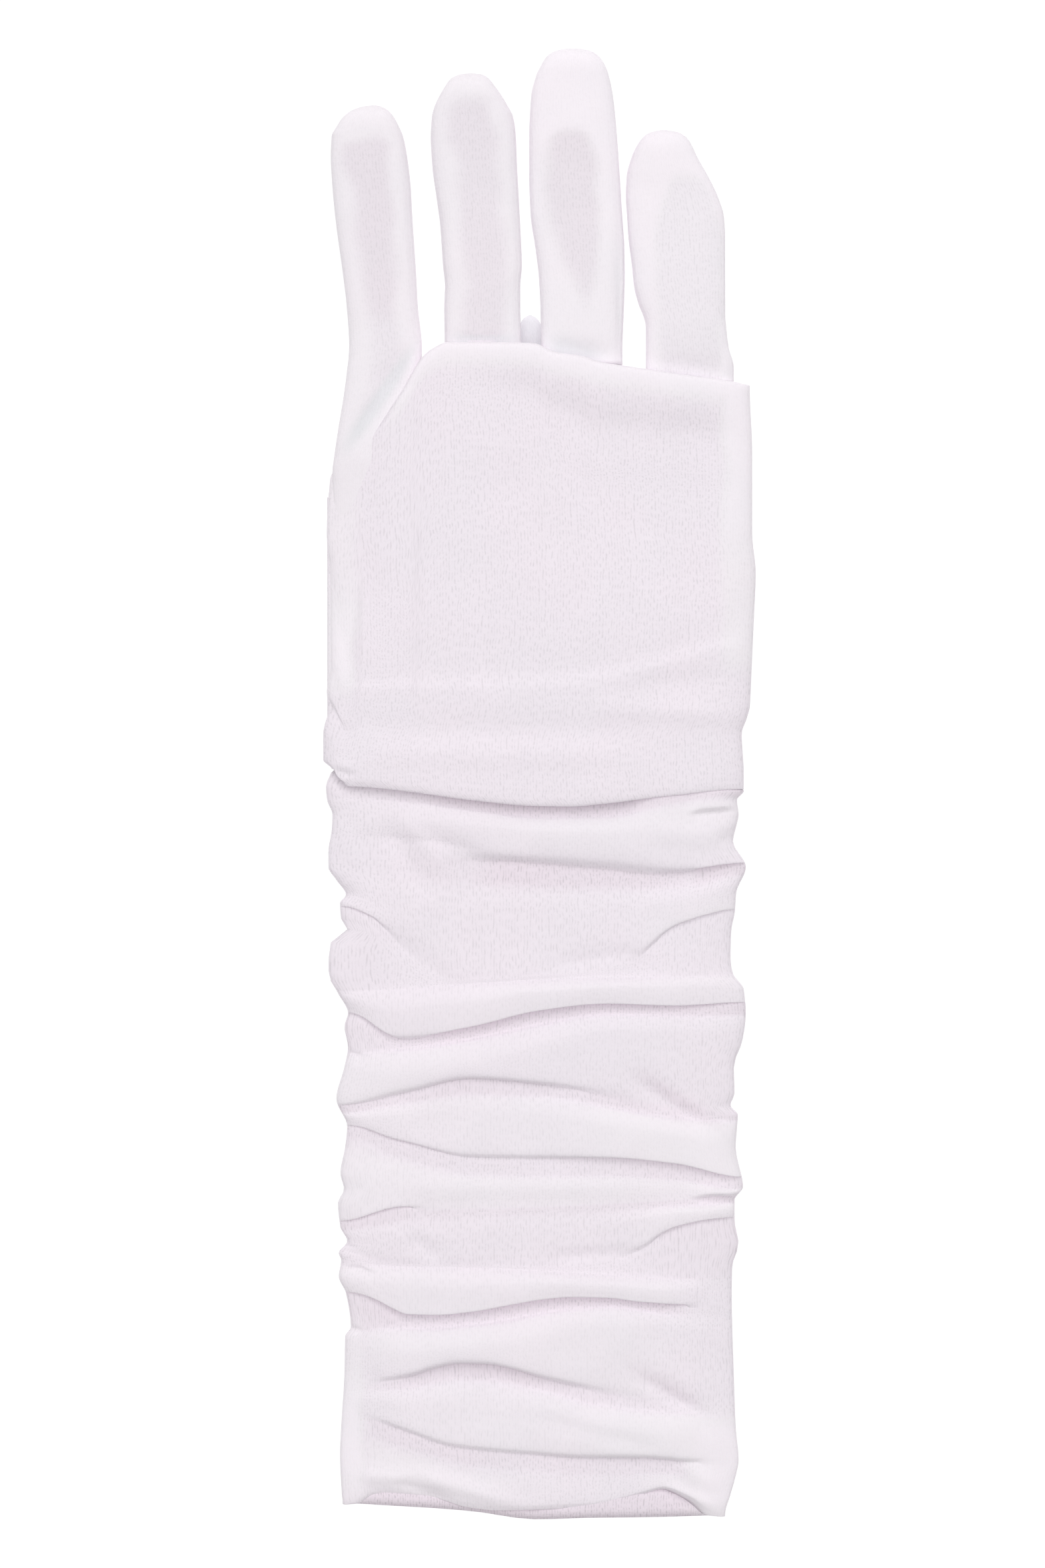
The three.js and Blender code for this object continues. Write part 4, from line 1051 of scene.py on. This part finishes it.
def stall_rings(outline, thin, soft, lift, inset, sink, seam):
    """Rings of a finger stall, its inner side from the tip to the base and its outer side back."""
    left_edge, right_edge = edges(outline)
    base, tip = outline[0][0], outline[-1][0]
    shares = shares_across(STALL_SEGMENTS)
    along = np.sin(np.linspace(0, 1, STALL_ROWS) * math.pi / 2)[:, None]
    bulge = edge_rounding(shares, STALL_EDGE)[None]

    def side(y, wall):
        left, right = left_edge(y) + wall, right_edge(y) - wall
        near_tip = 1 - np.clip((tip - y) / TIP_ROUNDING, 0, 1)
        rounding = (1 - near_tip ** TIP_BLUNTNESS) ** (1 / TIP_BLUNTNESS)
        full = mix(FINGER_BASE_HEIGHT, FINGER_HEIGHT, ease((y - base) / FINGER_SWELLING))
        low = lift * (1 - ease((y - base) / LIFT_LENGTH)) + (1 - rounding) * TIP_REST
        high = low + mix(TIP_THICKNESS, full, rounding) - sink * np.maximum(base + SINK_START - y, 0)
        low, high = np.minimum(low + wall, (low + high) / 2), np.maximum(high - wall, (low + high) / 2)
        height, reach = (low + high) / 2, (high - low) / 2
        middle = (left + right) / 2
        x = mix(np.minimum(left, middle - TIP_HALF), np.maximum(right, middle + TIP_HALF), shares[None])
        x, y = np.broadcast_arrays(x, y)
        relief = all_of(swell, STALL_SWELLS, x, y)
        relief = relief - 0.2 * thin_share(x, y, thin, soft) + 0.1 * soft_noise(x, y, 6.0, 21)
        relief = relief - SEAM_DEPTH * bell(x - right + seam, SEAM_WIDTH) * rise(y - tip, -12.0, -22.0)
        upper = np.stack([x, y, height + reach * bulge + relief * bulge ** 2 * rounding], -1)
        lower = np.stack([x, y, np.maximum(low, height - reach * bulge * PRESSED_FLAT)], -1)
        return both_sides(upper, lower)

    outer = side(mix(base - inset, tip, along), 0.0)
    inner = side(mix(base - inset, tip - CLOTH, along[::INNER_EVERY]), CLOTH)[::-1]
    return np.concatenate([inner, outer])


def make_stall(name, material, band, middle, **sizes):
    rings = stall_rings(**sizes)
    x, y, z = rings[..., 0], rings[..., 1], rings[..., 2]
    upper = rise(z, 3.0, 5.0)
    thin = thin_share(x, y, sizes["thin"], sizes["soft"]) * upper
    shaded = all_of(swell, STALL_SHADES, x, y) * upper
    # Painted shade darkens and greys the cloth where STALL_SHADES lie, its colour turned neutral; the
    # single layer is darker and a touch greyer.
    looks = dict(
        whitening=np.maximum(mix(smooth(band)(y), 0.3, thin), 0.7 * shaded),
        depth=np.maximum(smooth(middle)(y) * thin, 0.4 * shaded),
        ribs=(0.1 + 0.6 * thin) * upper,
        shadow=np.maximum(shaded, 0.2 * thin),
    )
    piece = closed_mesh(f"{name}_cloth", rings, looks, True, ring_spacing(rings[-STALL_ROWS // 2]))
    place(piece, material, name)


# Thumb, folded under the palm with its tip between ring and middle finger
THUMB_POINTS = np.array([(31.0, 54.0), (-3.0, 97.0), (-2.3, 117.4)])
THUMB_WIDTHS = smooth([
    (0, 11.5), (0.2, 11.2), (0.4, 9.8), (0.58, 7.0), (0.72, 4.2), (0.84, 3.1), (0.92, 2.9), (0.96, 2.3),
    (0.985, 1.4), (1, 0.4),
])
THUMB_HEIGHT = 3.0
THUMB_CLEAR = 3.5                   # how high the palm is lifted over it
THUMB_CLEAR_FADE = 2.6              # and over what width beside it
THUMB_TIP = 0.06                    # share of its length over which its end gets lower
THUMB_LIFT = 1.2                    # of its root, where it comes out of the palm
THUMB_STATIONS = 60                 # along its middle line, where its distance is measured
THUMB_SEGMENTS = 24
THUMB_ROWS = 90


def thumb_axis(share):
    share = np.asarray(share, float)[..., None]
    start, bend, end = THUMB_POINTS
    return (1 - share) ** 2 * start + 2 * share * (1 - share) * bend + share ** 2 * end


def thumb_rings():
    """Rings of the thumb, its inner side from the tip to the root and its outer side back."""
    shares = shares_across(THUMB_SEGMENTS)
    along = np.sin(np.linspace(0, 1, THUMB_ROWS) * math.pi / 2)
    bulge = edge_rounding(shares, STALL_EDGE)[None]

    def side(along, wall):
        centre = thumb_axis(along)
        ahead = thumb_axis(np.minimum(along + 0.01, 1.01)) - thumb_axis(along)
        ahead = ahead / np.linalg.norm(ahead, axis=1, keepdims=True)
        half = np.maximum(THUMB_WIDTHS(along) - wall, 0.3)[:, None] * (2 * shares[None] - 1)
        near_tip = 1 - np.clip((1 - along) / THUMB_TIP, 0, 1)
        height = THUMB_HEIGHT * np.sqrt(1 - near_tip ** 2)[:, None]
        raised = THUMB_LIFT * (1 - rise(along, 0.0, 0.25))[:, None]
        middle = raised + mix(1.4, THUMB_HEIGHT / 2, height / THUMB_HEIGHT)
        reach = np.maximum(height / 2 - wall, 0.15)
        x = centre[:, :1] + ahead[:, 1:] * half
        y = centre[:, 1:] - ahead[:, :1] * half
        upper = np.stack([x, y, middle + reach * bulge], -1)
        lower = np.stack([x, y, middle - reach * np.minimum(bulge * PRESSED_FLAT, 1.0)], -1)
        return both_sides(upper, lower)

    return np.concatenate([side(along[::INNER_EVERY] * 0.99, CLOTH)[::-1], side(along, 0.0)])


def make_thumb(material):
    rings = thumb_rings()
    even = np.ones(rings.shape[:2])
    # The whole thumb is painted darker and grey as shade, for it lies low between the fingers.
    looks = dict(whitening=0.5 * even, depth=0.5 * even, ribs=0.6 * even, shadow=even)
    piece = closed_mesh("thumb_cloth", rings, looks, True, ring_spacing(rings[-THUMB_ROWS]))
    place(piece, material, "thumb")


# White of one layer of cloth, of a seam's turning and of a turning that is doubled; the two whiter ones
# also serve as painted light
PLAIN_CLOTH = (0.932, 0.864, 0.925)
TURNED_AND_LIT_CLOTH = (0.946, 0.895, 0.938)
DOUBLED_AND_LIT_CLOTH = (0.98, 0.922, 0.974)
# Factors of the cloth's colour: darker and rosier as painted shade and on the fingers' single layer, cooler
# in its patches, and grey as painted shadow
SHADE_AND_SINGLE_LAYER = (0.9, 0.848, 0.875)
COOLER = (0.988, 0.998, 0.995)
SHADOW_GREY = (0.895, 0.955, 0.935)

RIB_DRIFT = 1.8                     # how many ribs the noise shifts them by
STITCH_LEAN = 0.9                   # how many rows a stitch leans from a groove to its rib
YARN_LENGTH = 0.68                  # how much an uneven yarn changes for each row, against each rib
RIB_RELIEF = 0.32
ROW_RELIEF = 0.12
RIB_DARKNESS = 0.13                 # of the grooves, where the knit shows plainly
BLOTCH_DARKNESS = 0.03


def add_math(tree, operation, *values):
    """A math node whose inputs are numbers or other nodes' outputs."""
    node = tree.nodes.new("ShaderNodeMath")
    node.operation = operation
    for socket, value in zip(node.inputs, values):
        if isinstance(value, (int, float)):
            socket.default_value = value
        else:
            tree.links.new(value, socket)
    return node.outputs[0]


def add_wave(tree, turns):
    """A sine that goes once up and down for each turn."""
    return add_math(tree, "SINE", add_math(tree, "MULTIPLY", turns, math.tau))


def add_noise(tree, vector, scale, detail=2.0):
    node = tree.nodes.new("ShaderNodeTexNoise")
    node.inputs["Scale"].default_value = scale
    node.inputs["Detail"].default_value = detail
    tree.links.new(vector, node.inputs["Vector"])
    return node.outputs["Fac"]


def add_range(tree, value, low, high):
    """0 where the value is low and 1 where it is high, kept between them."""
    node = tree.nodes.new("ShaderNodeMapRange")
    node.inputs["From Min"].default_value = low
    node.inputs["From Max"].default_value = high
    tree.links.new(value, node.inputs["Value"])
    return node.outputs[0]


def named_amount(tree, name):
    """An amount that each point of the cloth carries."""
    node = tree.nodes.new("ShaderNodeAttribute")
    node.attribute_name = name
    return node.outputs["Fac"]


def tint(tree, colour, factor, amount):
    """A colour multiplied by a factor for each channel, as far as the amount says."""
    node = tree.nodes.new("ShaderNodeMix")
    node.data_type = "RGBA"
    node.blend_type = "MULTIPLY"
    node.inputs[7].default_value = (*factor, 1)
    tree.links.new(colour, node.inputs[6])
    tree.links.new(amount, node.inputs["Factor"])
    return node.outputs[2]


def knit_surface():
    """Ribs and rows of stitches over a UV map in metres, as a height and as a shade of the yarn."""
    group = bpy.data.node_groups.new("knit_surface", "ShaderNodeTree")
    for name, kind in (("Cloth", "Vector"), ("Ribs per Metre", "Float"), ("Rows per Metre", "Float")):
        group.interface.new_socket(name, in_out="INPUT", socket_type=f"NodeSocket{kind}")
    for name in ("Height", "Shade"):
        group.interface.new_socket(name, in_out="OUTPUT", socket_type="NodeSocketFloat")
    entry = group.nodes.new("NodeGroupInput")
    leave = group.nodes.new("NodeGroupOutput")
    split = group.nodes.new("ShaderNodeSeparateXYZ")
    group.links.new(entry.outputs["Cloth"], split.inputs[0])

    drift = add_math(group, "MULTIPLY", add_noise(group, entry.outputs["Cloth"], 240.0), RIB_DRIFT)
    ribs = add_math(group, "MULTIPLY", split.outputs["X"], entry.outputs["Ribs per Metre"])
    ribs = add_math(group, "ADD", ribs, drift)
    rows = add_math(group, "MULTIPLY", split.outputs["Y"], entry.outputs["Rows per Metre"])
    lean = add_math(group, "MULTIPLY", add_math(group, "PINGPONG", ribs, 0.5), STITCH_LEAN)
    rib_wave = add_wave(group, ribs)
    row_wave = add_wave(group, add_math(group, "ADD", rows, lean))

    yarn = group.nodes.new("ShaderNodeCombineXYZ")
    group.links.new(ribs, yarn.inputs["X"])
    group.links.new(add_math(group, "MULTIPLY", rows, YARN_LENGTH), yarn.inputs["Y"])
    uneven = add_range(group, add_noise(group, yarn.outputs[0], 0.9), 0.42, 0.64)

    height = add_math(group, "MULTIPLY_ADD", rib_wave, RIB_RELIEF, 0.5)
    height = add_math(group, "MULTIPLY_ADD", row_wave, ROW_RELIEF, height)
    height = add_math(group, "MULTIPLY", height, add_math(group, "MULTIPLY_ADD", uneven, 0.7, 0.3))
    groove = add_math(group, "SUBTRACT", 0.5, add_math(group, "MULTIPLY", rib_wave, 0.5))
    shade = add_math(group, "MULTIPLY", add_math(group, "POWER", groove, 2.0), uneven)
    group.links.new(height, leave.inputs["Height"])
    group.links.new(shade, leave.inputs["Shade"])
    return group


def white_knit():
    """Matt white stretch knit with a faint rose cast, painted whiter where seam turnings double it and as
    painted light, and darker and greyer as painted shade.
    """
    material = bpy.data.materials.new("white_knit")
    material.use_nodes = True
    tree = material.node_tree
    shader = tree.nodes["Principled BSDF"]
    shader.inputs["Sheen Weight"].default_value = 0.1
    shader.inputs["Specular IOR Level"].default_value = 0.2

    cloth = tree.nodes.new("ShaderNodeUVMap")
    cloth.uv_map = "knit"
    knit = tree.nodes.new("ShaderNodeGroup")
    knit.node_tree = knit_surface()
    knit.inputs["Ribs per Metre"].default_value = 1 / (RIB_PITCH * MM)
    knit.inputs["Rows per Metre"].default_value = 1 / (ROW_PITCH * MM)
    tree.links.new(cloth.outputs["UV"], knit.inputs["Cloth"])

    whitening_ramp = tree.nodes.new("ShaderNodeValToRGB")
    whitening_ramp.color_ramp.elements[0].color = (*PLAIN_CLOTH, 1)
    whitening_ramp.color_ramp.elements[1].color = (*DOUBLED_AND_LIT_CLOTH, 1)
    whitening_ramp.color_ramp.elements.new(0.5).color = (*TURNED_AND_LIT_CLOTH, 1)
    tree.links.new(named_amount(tree, "whitening"), whitening_ramp.inputs["Fac"])

    on_piece = tree.nodes.new("ShaderNodeTexCoord").outputs["Object"]
    blotches = add_noise(tree, on_piece, 140.0, 3.0)
    patches = add_range(tree, add_noise(tree, on_piece, 42.0), 0.4, 0.65)
    colour = tint(tree, whitening_ramp.outputs["Color"], SHADE_AND_SINGLE_LAYER, named_amount(tree, "depth"))
    colour = tint(tree, colour, COOLER, patches)
    colour = tint(tree, colour, SHADOW_GREY, named_amount(tree, "shadow"))

    rib_depth = add_math(tree, "MULTIPLY_ADD", named_amount(tree, "ribs"), RIB_DARKNESS, 0.02)
    darker = add_math(tree, "MULTIPLY", knit.outputs["Shade"], rib_depth)
    darker = add_math(tree, "MULTIPLY_ADD", blotches, BLOTCH_DARKNESS, darker)
    shaded = tree.nodes.new("ShaderNodeVectorMath")
    shaded.operation = "SCALE"
    tree.links.new(colour, shaded.inputs[0])
    tree.links.new(add_math(tree, "SUBTRACT", 1.04, darker), shaded.inputs["Scale"])
    tree.links.new(shaded.outputs[0], shader.inputs["Base Color"])
    roughness = add_math(tree, "MULTIPLY_ADD", blotches, 0.12, 0.8)
    tree.links.new(roughness, shader.inputs["Roughness"])

    bump = tree.nodes.new("ShaderNodeBump")
    bump.inputs["Strength"].default_value = 0.5
    bump.inputs["Distance"].default_value = 0.1 * MM
    tree.links.new(knit.outputs["Height"], bump.inputs["Height"])
    tree.links.new(bump.outputs["Normal"], shader.inputs["Normal"])
    return material


# The stage, in metres
FLOOR_HALF = 3.0
FLOOR_GLOW = 0.86                   # lifts the floor to the white of the photograph
SURROUND = 0.3                      # strength of the white surround
# Each lamp's name, place, size and energy
LAMPS = [
    ("key_light", (-0.15, 2.5, 2.3), 1.5, 33.5),
    ("top_light", (0.0, 0.0, 2.6), 4.0, 50.0),
]


def make_camera():
    data = bpy.data.cameras.new("camera")
    data.lens = LENS
    data.sensor_width = SENSOR
    distance = FRAME_HEIGHT * LENS / SENSOR
    camera = bpy.data.objects.new("camera", data)
    camera.location = Vector((*FRAME_CENTRE, OUTLINE_HEIGHT + distance)) * MM
    bpy.context.scene.collection.objects.link(camera)
    bpy.context.scene.camera = camera


def add_lamp(name, location, size, energy):
    """A square soft light that points at the middle of the glove."""
    light = bpy.data.lights.new(name, "AREA")
    light.shape = "SQUARE"
    light.size = size
    light.energy = energy
    lamp = bpy.data.objects.new(name, light)
    lamp.location = location
    lamp.rotation_euler = (-lamp.location).to_track_quat("-Z", "Y").to_euler()
    bpy.context.scene.collection.objects.link(lamp)


def make_stage():
    """A plain white floor, a soft light from the fingers' side, one above and a white surround."""
    mesh = bpy.data.meshes.new("floor")
    corners = [(x * FLOOR_HALF, y * FLOOR_HALF, 0) for x, y in ((-1, -1), (1, -1), (1, 1), (-1, 1))]
    mesh.from_pydata(corners, [], [(0, 1, 2, 3)])
    floor = bpy.data.objects.new("floor", mesh)
    bpy.context.scene.collection.objects.link(floor)
    material = bpy.data.materials.new("white_floor")
    material.use_nodes = True
    shader = material.node_tree.nodes["Principled BSDF"]
    shader.inputs["Base Color"].default_value = (0.2, 0.2, 0.2, 1)
    shader.inputs["Roughness"].default_value = 0.9
    shader.inputs["Emission Color"].default_value = (1, 1, 1, 1)
    shader.inputs["Emission Strength"].default_value = FLOOR_GLOW
    mesh.materials.append(material)

    world = bpy.data.worlds.new("surround")
    world.use_nodes = True
    background = world.node_tree.nodes["Background"]
    background.inputs["Color"].default_value = (1, 1, 1, 1)
    background.inputs["Strength"].default_value = SURROUND
    bpy.context.scene.world = world

    for lamp in LAMPS:
        add_lamp(*lamp)
    bpy.context.scene.view_settings.view_transform = "Standard"


make_camera()
make_stage()
knit = white_knit()
make_sleeve(knit)
make_hand(knit)
for stall_name, stall in STALLS.items():
    make_stall(stall_name, knit, **stall)
make_thumb(knit)
